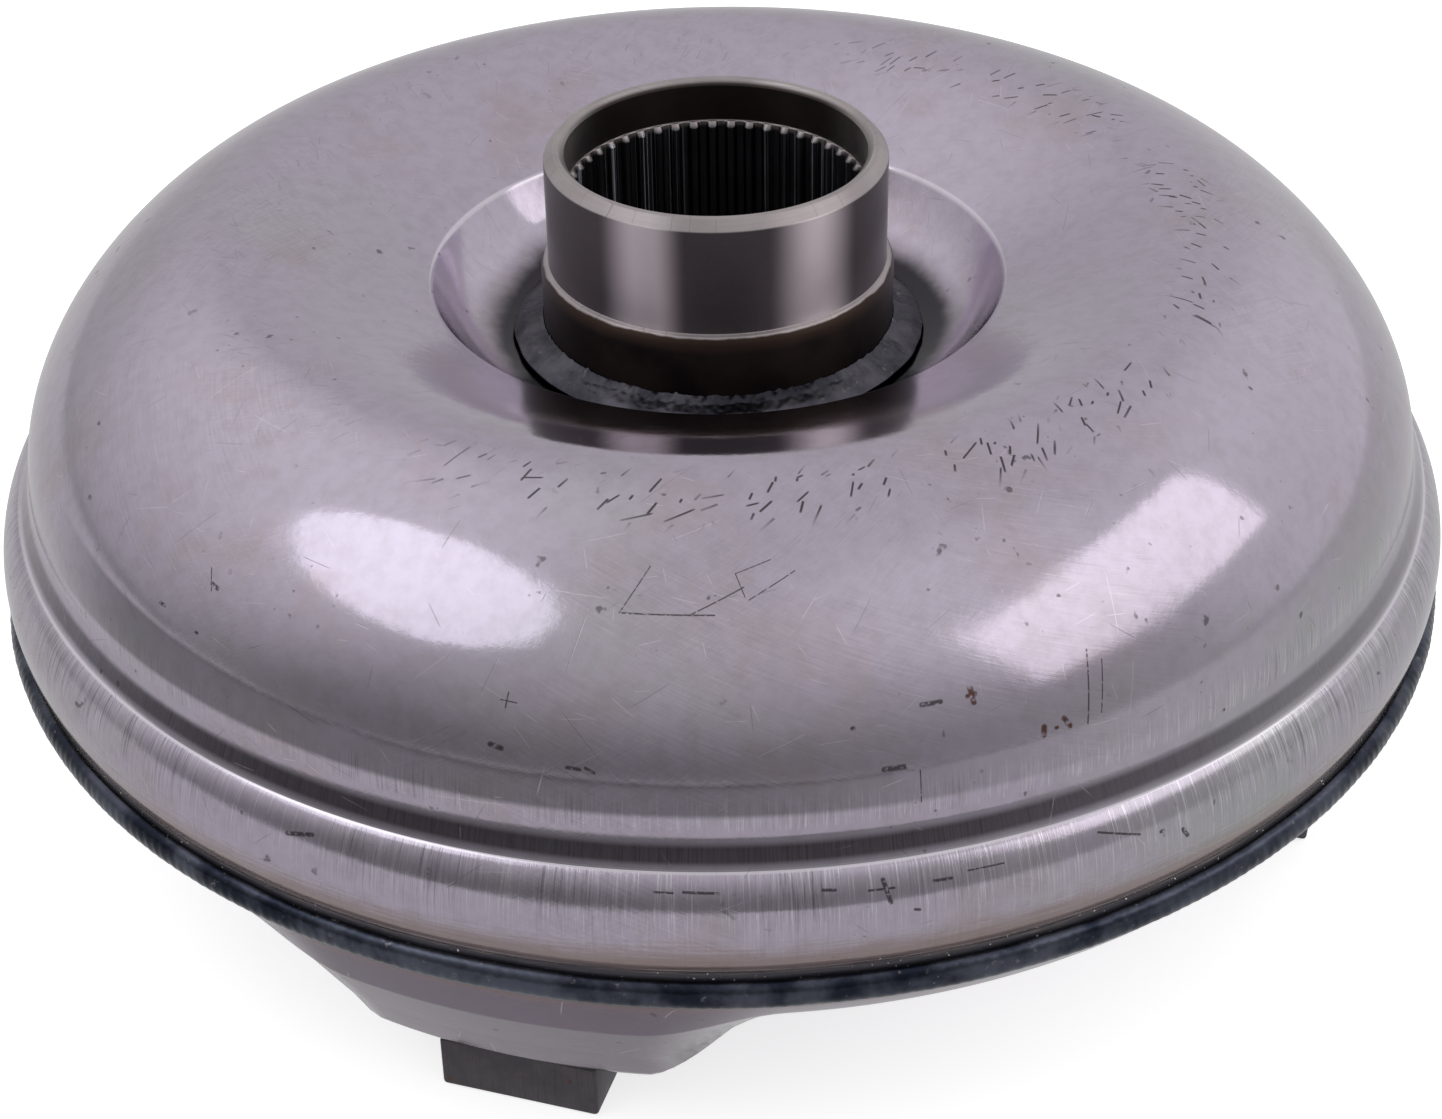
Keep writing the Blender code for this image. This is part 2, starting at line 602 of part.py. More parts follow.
def build_stator_wheel(axis):
    """Cast wheel: hub ring with its bore, bent blades and the outer ring, as one piece."""
    groove = snap_groove_height()
    lip = RACE_LOW - PLATE_THICKNESS - 2 * GAP
    hub = [(0.0530, lip - 0.0012), (STATOR_RIM, lip - 0.0012), (STATOR_RIM, 0.0985), (STATOR_BORE, 0.0985),
           (STATOR_BORE, groove + 0.0020), (0.0598, groove + 0.0020), (0.0598, groove),
           (STATOR_BORE, groove), (STATOR_BORE, lip), (0.0530, lip)]
    wheel = turned("stator_wheel", hub, INNER_SIDES, materials["aluminium"], axis)
    band = [(0.0855, 0.0760), (STATOR_OUTSIDE, 0.0760), (STATOR_OUTSIDE, 0.0940), (0.0855, 0.0940)]
    rim = turned("stator_rim_guide", band, INNER_SIDES, materials["cutter"])
    bm = bmesh.new()
    for i in range(STATOR_BLADES):
        rings = []
        for share, turn_degrees, thick in ((0, -9, 0.0012), (0.35, -6.5, 0.0042), (0.7, 1, 0.0030), (1, 10, 0.0010)):
            z = 0.0765 + 0.0170 * share
            turn = 2 * pi * i / STATOR_BLADES + radians(turn_degrees)
            ring = []
            for r, face in ((0.0610, -1), (0.0866, -1), (0.0866, 1), (0.0610, 1)):
                a = turn + face * thick / 2 / r
                ring.append(bm.verts.new((r * cos(a), r * sin(a), z)))
            rings.append(ring)
        bm.faces.new(rings[0])
        bm.faces.new(rings[-1])
        for lower, upper in zip(rings, rings[1:]):
            for k in range(4):
                m = (k + 1) % 4
                bm.faces.new((lower[k], lower[m], upper[m], upper[k]))
    blades = add_object("stator_blades_guide", bm, materials["cutter"], None)
    join_mode(wheel, blades, "UNION", "blades")
    join_mode(wheel, rim, "UNION", "rim")


# ---------------------------------------------------------------- assembly

clear_scene()
materials = {
    "shell": material("shell_steel", (0.42, 0.38, 0.41), 0.32, 1.0),
    "machined": material("machined_steel", (0.50, 0.46, 0.43), 0.25, 1.0),
    "weld": material("weld_steel", (0.06, 0.07, 0.09), 0.35, 1.0),
    "lug": material("lug_steel", (0.12, 0.11, 0.11), 0.60, 1.0),
    "blade": material("blade_steel", (0.40, 0.39, 0.38), 0.45, 1.0),
    "inner": material("inner_steel", (0.45, 0.43, 0.42), 0.40, 1.0),
    "bearing": material("bearing_steel", (0.60, 0.60, 0.60), 0.20, 1.0),
    "bronze": material("bush_bronze", (0.55, 0.38, 0.18), 0.35, 1.0),
    "aluminium": material("cast_aluminium", (0.70, 0.70, 0.70), 0.50, 1.0),
    "cutter": material("cutter_guide", (0.8, 0.2, 0.2), 0.50, 0.0),
}
build_cover()
build_pilot()
build_lugs()
build_pump()
build_pump_hub()
build_turbine(empty("turbine_axis"))
build_inner_race(empty("freewheel_race_axis"))
stator_axis = empty("stator_axis")
build_outer_race(stator_axis)
build_rollers(stator_axis)
build_side_plates(stator_axis)
build_snap_ring(stator_axis)
build_stator_wheel(stator_axis)
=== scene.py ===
"""Looks of the torque converter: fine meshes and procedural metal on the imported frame.

Lengths are metres. Turned profiles are (radius, height) points. Angles round the axis are counted
from the side the camera looks at, positive to the camera's right.
"""
import bmesh
import bpy
import json
import numpy as np
from math import cos, hypot, pi, radians, sin, tan
from mathutils import Matrix, Vector, noise


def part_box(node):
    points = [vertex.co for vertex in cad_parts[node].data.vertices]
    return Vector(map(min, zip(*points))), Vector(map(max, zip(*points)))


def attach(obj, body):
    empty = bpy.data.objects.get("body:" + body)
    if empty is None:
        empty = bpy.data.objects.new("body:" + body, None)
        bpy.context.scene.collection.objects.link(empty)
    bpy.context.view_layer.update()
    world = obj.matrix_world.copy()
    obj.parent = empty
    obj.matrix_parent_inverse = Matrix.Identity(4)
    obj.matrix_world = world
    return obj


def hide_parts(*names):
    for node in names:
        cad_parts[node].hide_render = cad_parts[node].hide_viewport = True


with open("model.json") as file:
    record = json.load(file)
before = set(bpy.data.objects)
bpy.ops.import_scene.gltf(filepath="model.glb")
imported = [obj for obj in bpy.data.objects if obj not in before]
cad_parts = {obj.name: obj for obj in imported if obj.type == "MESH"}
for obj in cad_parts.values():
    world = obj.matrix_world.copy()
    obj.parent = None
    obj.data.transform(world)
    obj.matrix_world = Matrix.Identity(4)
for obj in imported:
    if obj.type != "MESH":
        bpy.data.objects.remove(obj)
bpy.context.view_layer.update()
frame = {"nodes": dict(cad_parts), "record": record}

# ---------------------------------------------------------------- sizes, read from the frame

weld_low, weld_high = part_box("seam_weld")
shell_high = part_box("pump_shell")[1]
cover_low, cover_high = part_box("front_cover")
hub_low, hub_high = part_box("pump_hub")
lug_low, lug_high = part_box("drive_lug_1")
pilot_low, pilot_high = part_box("pilot_boss")
race_low, race_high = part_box("freewheel_inner_race")

SEAM_RADIUS = weld_high.x
SEAM_HEIGHT = (weld_low.z + weld_high.z) / 2
BUTT_RADIUS = cover_high.x
CREST_HEIGHT = shell_high.z
CREST_RADIUS = 0.1070
WALL_RADIUS = 0.1556
WALL_HEIGHT = 0.0860
BEAD_RADIUS = 0.1641
BEAD_HEIGHT = 0.0650
CREASE = (0.15875, 0.0784)
LIP_RADIUS = 0.0637
LIP_HEIGHT = 0.1191
SHELL_THICKNESS = 0.0045
COVER_THICKNESS = 0.0050
GAP = 0.0004
HUB_TOP = hub_high.z
HUB_BOTTOM = hub_low.z
HUB_BASE_RADIUS = hub_high.x
JOURNAL_RADIUS = 0.0376
SHOULDER_HEIGHT = 0.1222
MOUTH_RADIUS = 0.03425
COUNTERBORE_RADIUS = 0.0330
LEDGE_HEIGHT = 0.1393
SPLINE_TEETH = 48
SPLINE_TIP = 0.0315
SPLINE_ROOT = 0.0328
SPLINE_END = 0.1120
LOBE_HEIGHT = cover_low.z
FLOOR_HEIGHT = 0.0200
PILOT_RADIUS = 0.0250
LOBE_COUNT = 4
LOBE_FLAT_ANGLE = radians(11)
LOBE_END_ANGLE = radians(21.5)

# The camera stands this far round from the lug on -Y, towards the lug on +X. Its spot is in seam
# radii from the middle of the seam, before that turn; it looks down by the pitch.
VIEW_TURN = radians(17.5)
CAMERA_SPOT = (-0.0018, -3.2915, 2.1525)
CAMERA_PITCH = radians(34.11)
CAMERA_ROLL = -0.016
LENS = 68.5
SENSOR_WIDTH = 36.0


# ---------------------------------------------------------------- profiles

def bezier(start, handle_a, handle_b, end, steps):
    """Points of a cubic curve, both ends included."""
    points = []
    for i in range(steps + 1):
        t = i / steps
        u = 1 - t
        weights = (u ** 3, 3 * u * u * t, 3 * u * t * t, t ** 3)
        corners = (start, handle_a, handle_b, end)
        points.append(tuple(sum(w * p[k] for w, p in zip(weights, corners)) for k in (0, 1)))
    return points


def ellipse(centre, semi_r, semi_z, first, last, steps):
    """Points of an elliptic arc between two angles in degrees, both ends included."""
    points = []
    for i in range(steps + 1):
        a = radians(first + (last - first) * i / steps)
        points.append((centre[0] + semi_r * cos(a), centre[1] + semi_z * sin(a)))
    return points


def rounded(corners, radii, steps):
    """A polyline with each inner corner replaced by a soft bend of about the radius given for it."""
    points = [corners[0]]
    for i in range(1, len(corners) - 1):
        before, here, after = (Vector(corners[k]) for k in (i - 1, i, i + 1))
        back = before - here
        ahead = after - here
        turn = pi - back.angle(ahead, pi)
        cut = min(radii[i - 1] * tan(turn / 2), back.length * 0.49, ahead.length * 0.49)
        enter = here + back.normalized() * cut
        leave = here + ahead.normalized() * cut
        for k in range(steps + 1):
            t = k / steps
            points.append(tuple(enter * (1 - t) ** 2 + here * 2 * t * (1 - t) + leave * t * t))
    points.append(corners[-1])
    return points


def offset(points, distance):
    """The polyline moved sideways by distance, to the right of its direction of travel."""
    line = np.array(points)
    step = np.gradient(line, axis=0)
    normal = np.stack([step[:, 1], -step[:, 0]], axis=1)
    normal /= np.linalg.norm(normal, axis=1, keepdims=True)
    return [tuple(p) for p in line + normal * distance]


def subdivided(points, longest):
    """The polyline with every step longer than the limit cut into equal parts."""
    fine = [points[0]]
    for a, b in zip(points, points[1:]):
        count = max(1, int(np.ceil(hypot(b[0] - a[0], b[1] - a[1]) / longest)))
        fine += [(a[0] + (b[0] - a[0]) * k / count, a[1] + (b[1] - a[1]) * k / count)
                 for k in range(1, count + 1)]
    return fine


def arc_lengths(points):
    lengths = [0.0]
    for a, b in zip(points, points[1:]):
        lengths.append(lengths[-1] + hypot(b[0] - a[0], b[1] - a[1]))
    return lengths


# ---------------------------------------------------------------- meshes

def linked(name, data):
    """A new object with this mesh, light or camera, in the scene."""
    piece = bpy.data.objects.new(name, data)
    bpy.context.scene.collection.objects.link(piece)
    return piece


def mesh_of(bm, name):
    """The bmesh as a mesh; the bmesh itself is freed."""
    mesh = bpy.data.meshes.new(name)
    bm.to_mesh(mesh)
    bm.free()
    return mesh


def smoothed(mesh, sharp_angle):
    mesh.shade_smooth()
    mesh.set_sharp_from_angle(angle=radians(sharp_angle))


def grid_mesh(name, rows, smooth_angle=30, attributes=None):
    """A closed ring from an array of rows[column][point] = (x, y, z), joined round both ways."""
    rows = np.asarray(rows, dtype=np.float64)
    columns, count, _ = rows.shape
    mesh = bpy.data.meshes.new(name)
    index = np.arange(columns * count).reshape(columns, count)
    following = np.roll(index, -1, axis=0)
    corners = [index, following, np.roll(following, -1, axis=1), np.roll(index, -1, axis=1)]
    faces = np.stack(corners, axis=-1)
    mesh.from_pydata(rows.reshape(-1, 3).tolist(), [], faces.reshape(-1, 4).tolist())
    for key, values in (attributes or {}).items():
        layer = mesh.attributes.new(key, "FLOAT", "POINT")
        layer.data.foreach_set("value", np.tile(np.asarray(values, dtype=np.float32), columns))
    mesh.update()
    bm = bmesh.new()
    bm.from_mesh(mesh)
    bmesh.ops.recalc_face_normals(bm, faces=bm.faces[:])
    bm.to_mesh(mesh)
    bm.free()
    smoothed(mesh, smooth_angle)
    return linked(name, mesh)


def clamped(share):
    return min(max(share, 0), 1)


def noise_round(a, reach, third):
    """Noise at an angle round the axis; reach is the radius of the circle it is read on."""
    return noise.noise(Vector((cos(a) * reach, sin(a) * reach, third)))


def turned(name, profile, columns, shape=None, **options):
    """A closed profile turned about Z. shape(k, angle, r, z) may give each point its own (r, z)."""
    angles = columns if hasattr(columns, "__len__") else [2 * pi * i / columns for i in range(columns)]
    rows = []
    for a in angles:
        ring = [shape(k, a, r, z) if shape else (r, z) for k, (r, z) in enumerate(profile)]
        rows.append([(r * cos(a), r * sin(a), z) for r, z in ring])
    return grid_mesh(name, rows, **options)


def place(piece, look, body, node):
    """The piece gets its material, stands for this CAD node and rides with the node's body."""
    piece.data.materials.append(look)
    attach(piece, body)
    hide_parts(node)


# ---------------------------------------------------------------- node trees

class Tree:
    """Short calls for the nodes used here, in the node tree of a material or of the world."""

    def __init__(self, owner):
        owner.use_nodes = True
        self.owner = owner
        self.nodes = owner.node_tree.nodes
        self.links = owner.node_tree.links
        self.shader = self.nodes.get("Principled BSDF")

    def feed(self, socket, value):
        if isinstance(value, bpy.types.NodeSocket):
            self.links.new(value, socket)
        elif hasattr(value, "__len__") and len(value) == 3 and socket.type == "RGBA":
            socket.default_value = (*value, 1)
        else:
            socket.default_value = value

    def node(self, kind, inputs=None, **settings):
        node = self.nodes.new("ShaderNode" + kind)
        for key, value in settings.items():
            setattr(node, key, value)
        for key, value in (inputs or {}).items():
            self.feed(node.inputs[key], value)
        return node

    def attribute(self, name):
        return self.node("Attribute", attribute_name=name).outputs["Fac"]

    def math(self, operation, a, b=0.0):
        return self.node("Math", {0: a, 1: b}, operation=operation).outputs[0]

    def add(self, a, b):
        return self.math("ADD", a, b)

    def minus(self, a, b):
        return self.math("SUBTRACT", a, b)

    def multiply(self, a, b):
        return self.math("MULTIPLY", a, b)

    def most(self, a, b):
        return self.math("MAXIMUM", a, b)

    def size(self, a):
        return self.math("ABSOLUTE", a)

    def vector_math(self, operation, *inputs, output="Vector"):
        return self.node("VectorMath", dict(enumerate(inputs)), operation=operation).outputs[output]

    def scaled(self, vector, amounts):
        return self.vector_math("MULTIPLY", vector, amounts)

    def part(self, vector, index):
        return self.node("SeparateXYZ", {0: vector}).outputs[index]

    def vector(self, x, y, z=0.0):
        return self.node("CombineXYZ", {0: x, 1: y, 2: z}).outputs[0]

    def between(self, value, low, high, to_low=0.0, to_high=1.0):
        """Smooth step of value from low to high; low may be the greater one."""
        inputs = {"Value": value, "From Min": low, "From Max": high, "To Min": to_low, "To Max": to_high}
        return self.node("MapRange", inputs, interpolation_type="SMOOTHSTEP").outputs[0]

    def sector(self, angle, low_degrees, high_degrees, *levels):
        return self.between(angle, radians(low_degrees), radians(high_degrees), *levels)

    def noise(self, vector, scale, detail=3.0, roughness=0.5, distortion=0.0):
        inputs = {"Vector": vector, "Scale": scale, "Detail": detail, "Roughness": roughness,
                  "Distortion": distortion}
        return self.node("TexNoise", inputs).outputs["Fac"]

    def mix(self, share, a, b):
        node = self.node("Mix", data_type="RGBA")
        for key, value in ((0, share), (6, a), (7, b)):
            self.feed(node.inputs[key], value)
        return node.outputs[2]

    def position(self):
        return self.node("TexCoord").outputs["Object"]

    def polar(self):
        """(angle from the viewer's side, radius, unit direction round the axis)."""
        spot = self.position()
        facing = self.node("VectorRotate", {"Vector": spot, "Angle": -VIEW_TURN}, rotation_type="Z_AXIS")
        parts = self.node("SeparateXYZ", {0: facing.outputs[0]})
        x, y = parts.outputs[0], parts.outputs[1]
        angle = self.math("ARCTAN2", x, self.multiply(y, -1.0))
        flat = self.scaled(spot, (1, 1, 0))
        radius = self.vector_math("LENGTH", flat, output="Value")
        unit = self.vector_math("NORMALIZE", flat)
        return angle, radius, unit

    def finish(self, colour, roughness, height, metallic=1.0):
        """The material with these inputs; height is the bump's, in metres."""
        bump = self.node("Bump", {"Height": height, "Strength": 1.0, "Distance": 1.0}).outputs[0]
        inputs = {"Base Color": colour, "Roughness": roughness, "Metallic": metallic, "Normal": bump}
        for key, value in inputs.items():
            self.feed(self.shader.inputs[key], value)
        return self.owner


def new_tree(name):
    return Tree(bpy.data.materials.new(name))


def cell_scratches(tree, sheet, cell, length, width, seed, share=1.0, towards=0.0, spread=pi):
    """A straight scratch in a share of the sheet's cells, within spread of a direction; 0 to 1 mask."""
    moved = tree.vector_math("ADD", sheet, (seed, seed * 0.37, 0))
    cells = tree.node("TexVoronoi", {"Vector": moved, "Scale": 1 / cell, "Randomness": 1.0},
                      voronoi_dimensions="2D")
    away = tree.vector_math("SUBTRACT", moved, cells.outputs["Position"])
    away = tree.scaled(away, (1 / cell, 1 / cell, 0))
    pick = tree.node("SeparateColor", {0: cells.outputs["Color"]})
    turn = tree.add(tree.multiply(pick.outputs[0], -2 * spread), spread - towards)
    local = tree.node("VectorRotate", {"Vector": away, "Angle": turn}, rotation_type="Z_AXIS").outputs[0]
    parts = tree.node("SeparateXYZ", {0: local})
    along = tree.size(parts.outputs[0])
    across = tree.size(parts.outputs[1])
    reach = tree.multiply(tree.add(pick.outputs[1], 0.25), length / cell)
    inside = tree.between(tree.minus(reach, along), 0.0, 0.12)
    thin = tree.between(across, width / cell, width / cell * 0.35)
    return tree.multiply(tree.multiply(inside, thin), tree.math("LESS_THAN", pick.outputs[2], share))


def marks(tree, angle, arc, entries):
    """Mask of single marks; each is (degrees, arc, degrees, arc, half width, radius) from end to end.

    The marks lie on the sheet spanned by the angle times the mark's own radius, and the arc. They are
    worked out three at a time, one for each part of a vector, because a shader has room for few values.
    """
    combine = tree.vector_math
    across = tree.vector(angle, angle, angle)
    along = tree.vector(arc, arc, arc)
    nearest = None
    for first in range(0, len(entries), 3):
        three = list(entries[first:first + 3])
        three += [three[-1]] * (3 - len(three))
        start_x = Vector([radians(m[0]) * m[5] for m in three])
        start_y = Vector([m[1] for m in three])
        span_x = Vector([radians(m[2] - m[0]) * m[5] for m in three])
        span_y = Vector([m[3] - m[1] for m in three])
        squares = [max(dx * dx + dy * dy, 1e-9) for dx, dy in zip(span_x, span_y)]
        x = combine("MULTIPLY_ADD", across, Vector([m[5] for m in three]), -start_x)
        y = combine("ADD", along, -start_y)
        share = combine("MULTIPLY", x, Vector([d / q for d, q in zip(span_x, squares)]))
        share = combine("MULTIPLY_ADD", y, Vector([d / q for d, q in zip(span_y, squares)]), share)
        share = combine("MINIMUM", combine("MAXIMUM", share, (0, 0, 0)), (1, 1, 1))
        x = combine("MULTIPLY_ADD", share, -span_x, x)
        y = combine("MULTIPLY_ADD", share, -span_y, y)
        gap = combine("MULTIPLY_ADD", y, y, combine("MULTIPLY", x, x))
        gap = combine("MULTIPLY", gap, Vector([m[4] ** -2 for m in three]))
        nearest = gap if nearest is None else combine("MINIMUM", nearest, gap)
    parts = tree.node("SeparateXYZ", {0: nearest}).outputs
    least = tree.math("MINIMUM", tree.math("MINIMUM", parts[0], parts[1]), parts[2])
    return tree.between(least, 1.0, 0.1)


# ---------------------------------------------------------------- materials

STEEL = (0.51, 0.455, 0.55)
STEEL_GREEN = (0.44, 0.455, 0.455)
STEEL_BROWN = (0.45, 0.37, 0.40)
STEEL_GRAIN = (0.36, 0.32, 0.36)
BRIGHT_STEEL = (0.80, 0.76, 0.82)
DARKER_STEEL = (0.20, 0.155, 0.205)
WIPED_DARK = (0.20, 0.18, 0.21)
STREAK = (0.11, 0.10, 0.115)
GROOVE_SCALE_AND_SHADE = (0.048, 0.042, 0.052)
WALL_SHADE = (0.035, 0.032, 0.038)
HEAT_BROWN = (0.17, 0.115, 0.095)
HEAT_BLACK = (0.026, 0.029, 0.040)
HUB_SMOKE = (0.17, 0.14, 0.16)
HUB_BLACK = (0.022, 0.020, 0.026)
SPATTER = (0.75, 0.70, 0.66)
MARK = (0.05, 0.045, 0.05)
RUST = (0.12, 0.045, 0.02)
OXIDE_AND_DARK_REFLECTION = (0.012, 0.010, 0.010)
OXIDE_AND_DARK_REFLECTION_LIGHT = (0.026, 0.019, 0.017)
OXIDE_TEMPERED = (0.058, 0.040, 0.031)


def shell_look(name, single_marks=(), rust_marks=(), darkened=0.0, scuff_ring=True, dish=True):
    """Pressed steel sheet: glossy, faintly clouded, rubbed at the skirt, scratched and heat-tinted, with
    painted shade and painted highlights in places.

    darkened is the share of a darker steel colour mixed in all over; dish adds a painted highlight along
    the lip and the heat tint round the hub.
    """
    t = new_tree(name)
    angle, radius, unit = t.polar()
    arc = t.attribute("arc")
    from_crease = t.attribute("from_crease")
    spot = t.position()
    sheet = t.vector(t.multiply(angle, 0.12), arc)

    clouds = t.noise(spot, 11, 4, 0.55)
    patches = t.noise(spot, 34, 5, 0.62)
    fine = t.noise(spot, 260, 4, 0.65)
    colour = t.mix(t.between(clouds, 0.52, 0.74, 0.0, 0.55), STEEL, STEEL_GREEN)
    colour = t.mix(t.between(patches, 0.48, 0.74, 0.0, 0.62), colour, STEEL_BROWN)
    colour = t.mix(t.between(fine, 0.35, 0.75, 0.0, 0.36), colour, STEEL_GRAIN)

    # Faint wiping marks in two slanting directions
    wipes = None
    for tilt, seed in ((0.5, 0.0), (-0.7, 3.0)):
        slant = t.node("VectorRotate", {"Vector": sheet, "Angle": tilt}, rotation_type="Z_AXIS").outputs[0]
        lines = t.noise(t.scaled(slant, (90, 1900, 1)), 1.0, 4, 0.75, seed)
        zone = t.between(t.noise(spot, 17 + seed, 3), 0.42, 0.60)
        lines = t.multiply(t.minus(lines, 0.5), zone)
        wipes = lines if wipes is None else t.add(wipes, lines)
    colour = t.mix(t.between(wipes, 0.03, 0.20, 0.0, 0.16), colour, BRIGHT_STEEL)
    colour = t.mix(t.between(wipes, -0.03, -0.20, 0.0, 0.18), colour, WIPED_DARK)
    green = t.multiply(t.sector(angle, 22, 42), t.between(from_crease, 0.034, 0.008))
    green = t.multiply(green, t.sector(angle, 95, 65))
    colour = t.mix(t.multiply(green, t.between(patches, 0.40, 0.60, 0.25, 0.85)), colour, STEEL_GREEN)

    # Rubbed lines that run up and down the bead, strongest under its crease
    along = t.vector(0.0, 0.0, t.multiply(arc, 70))
    streaks = t.noise(t.vector_math("ADD", t.scaled(unit, (380, 380, 0)), along), 1.0, 4, 0.75)
    under = t.multiply(t.between(from_crease, -0.0150, -0.0040, 0.25, 1.0),
                       t.between(from_crease, 0.0, -0.0008))
    strip = t.multiply(t.between(from_crease, 0.0070, 0.0085), t.between(from_crease, 0.0180, 0.0110))
    streak_zone = t.add(t.multiply(under, t.between(from_crease, -0.03, -0.02)), t.multiply(strip, 0.6))
    patchy = t.between(t.noise(t.scaled(unit, (6, 6, 0)), 1.0, 3), 0.36, 0.62)
    streak_share = t.multiply(streak_zone, t.multiply(t.between(streaks, 0.52, 0.66), patchy))
    colour = t.mix(t.multiply(streak_share, 0.65), colour, STREAK)
    # Bright streaks: rubbed lines drawn bright as a painted highlight, stronger towards the viewer's right
    # where the bead catches the light
    bright_streaks_and_highlight = t.multiply(streak_zone, t.between(streaks, 0.48, 0.36))
    bright_streaks_and_highlight = t.multiply(bright_streaks_and_highlight, t.sector(angle, -30, 10, 0.30, 0.70))
    colour = t.mix(bright_streaks_and_highlight, colour, BRIGHT_STEEL)

    # Scale left in the groove above the crease, darkened further as painted shade for the groove's dim
    # reflection, strongest on the viewer's side and fading towards the sides; and a painted highlight along
    # the crease itself
    facing = t.between(t.size(t.add(angle, radians(12))), radians(85), radians(20), 0.35, 1.0)
    scale = t.multiply(t.between(from_crease, 0.0004, 0.0020), t.between(from_crease, 0.0059, 0.0042))
    scale = t.multiply(scale, t.multiply(facing, t.between(streaks, 0.30, 0.62, 1.0, 0.88)))
    colour = t.mix(t.multiply(scale, 0.93), colour, GROOVE_SCALE_AND_SHADE)
    # Painted highlight: a thin bright line along the crease
    crease_highlight = t.between(t.size(t.add(from_crease, 0.0001)), 0.0007, 0.0003)
    colour = t.mix(t.multiply(crease_highlight, 0.5), colour, BRIGHT_STEEL)

    # Painted shade on the upright wall above the groove, in front, up to where it leans back to face the
    # room: it stands in for the dim room that the wall mirrors there
    leaning = t.part(t.node("TexCoord").outputs["Normal"], 2)
    limit = t.add(t.multiply(t.math("COSINE", angle), -0.27), 0.562)
    wall = t.between(t.minus(leaning, limit), 0.03, 0.0)
    wall = t.multiply(wall, t.between(from_crease, 0.0100, 0.0116))
    wall = t.multiply(wall, t.multiply(t.sector(angle, -68, -48), t.sector(angle, 38, -4)))
    colour = t.mix(t.multiply(wall, 0.60), colour, WALL_SHADE)
    # Mixed all over with a darker steel colour
    if darkened:
        colour = t.mix(darkened, colour, DARKER_STEEL)
    if dish:
        # Painted highlight: a thin bright line along the lip of the dish
        lip = t.between(t.size(t.minus(radius, LIP_RADIUS)), 0.0006, 0.0002)
        colour = t.mix(t.multiply(lip, 0.40), colour, BRIGHT_STEEL)

    # Random handling scratches, and the worn ring on the crest
    hair = t.most(cell_scratches(t, sheet, 0.013, 0.0036, 0.00013, 3.1, 0.45),
                  cell_scratches(t, sheet, 0.029, 0.0080, 0.00012, 7.7, 0.35))
    # Bright scratches: real scratches drawn bright as a painted highlight of the softboxes they catch
    light_catching_scratches = t.most(cell_scratches(t, sheet, 0.0070, 0.0024, 0.00013, 2.3, 0.50, radians(-35), radians(60)),
                   cell_scratches(t, sheet, 0.0150, 0.0060, 0.00013, 9.1, 0.40, radians(40), radians(50)))
    light_catching_scratches = t.multiply(light_catching_scratches, t.between(patches, 0.44, 0.58))
    colour = t.mix(t.multiply(light_catching_scratches, 0.32), colour, BRIGHT_STEEL)
    dark = t.multiply(hair, 0.24)
    if scuff_ring:
        middle = t.add(t.multiply(t.math("COSINE", angle), 0.0105), 0.1045)
        near = t.size(t.minus(radius, middle))
        ring = t.between(near, 0.0085, 0.0035)
        front = t.sector(angle, -40, -15, 0.15, 1.0)
        side = t.sector(angle, 170, 140, 0.15, 1.0)
        ring = t.multiply(ring, t.multiply(front, side))
        ring = t.multiply(ring, t.between(t.noise(t.scaled(unit, (9, 9, 0)), 1.0, 2), 0.38, 0.50))
        slant = radians(48)
        scuffs = t.most(cell_scratches(t, sheet, 0.0046, 0.0020, 0.00036, 1.3, 0.60, slant, radians(28)),
                        cell_scratches(t, sheet, 0.0074, 0.0032, 0.00030, 5.9, 0.60, slant, radians(42)))
        dark = t.most(dark, t.multiply(t.multiply(scuffs, ring), 0.92))
    specks = t.between(t.noise(spot, 300, 2, 0.5), 0.69, 0.75)
    specks = t.multiply(specks, t.between(t.noise(spot, 25, 2), 0.46, 0.60))
    dark = t.most(dark, t.multiply(specks, 0.65))
    if single_marks:
        frayed = t.between(t.noise(spot, 1400, 2), 0.30, 0.48)
        single = t.multiply(marks(t, angle, arc, single_marks), frayed)
        dark = t.most(dark, t.multiply(single, 0.85))
    colour = t.mix(dark, colour, MARK)
    if rust_marks:
        rusty = t.multiply(marks(t, angle, arc, rust_marks), t.between(t.noise(spot, 900, 2), 0.35, 0.55))
        colour = t.mix(t.multiply(rusty, 0.9), colour, RUST)

    # Heat of the seam weld: black at the bead, then brown, fading up the skirt in ragged layers
    layers = t.noise(t.vector(t.multiply(angle, 9), t.multiply(arc, 1500)), 1.0, 4, 0.72)
    ragged = t.multiply(t.minus(layers, 0.5), 0.008)
    from_seam = t.add(t.attribute("from_seam"), ragged)
    browned = t.between(from_seam, 0.0140, 0.0070, 0.0, 0.80)
    colour = t.mix(browned, colour, HEAT_BROWN)
    black = t.between(from_seam, 0.0058, 0.0028, 0.0, 0.90)
    colour = t.mix(black, colour, HEAT_BLACK)
    spatter = t.between(t.noise(spot, 1000, 2), 0.68, 0.73)
    colour = t.mix(t.multiply(t.between(from_seam, 0.0050, 0.0036), spatter), colour, SPATTER)
    if dish:
        clouded = t.multiply(t.minus(patches, 0.5), 0.010)
        from_hub = t.add(t.attribute("from_hub"), clouded)
        colour = t.mix(t.between(from_hub, 0.0185, 0.0120, 0.0, 0.55), colour, HUB_SMOKE)
        colour = t.mix(t.between(from_hub, 0.0145, 0.0095, 0.0, 0.95), colour, HUB_BLACK)

    roughness = t.between(patches, 0.3, 0.7, 0.070, 0.120)
    roughness = t.add(roughness, t.multiply(t.between(fine, 0.3, 0.8), 0.035))
    roughness = t.add(roughness, t.multiply(t.most(dark, black), 0.15))
    roughness = t.add(roughness, t.multiply(scale, 0.15))

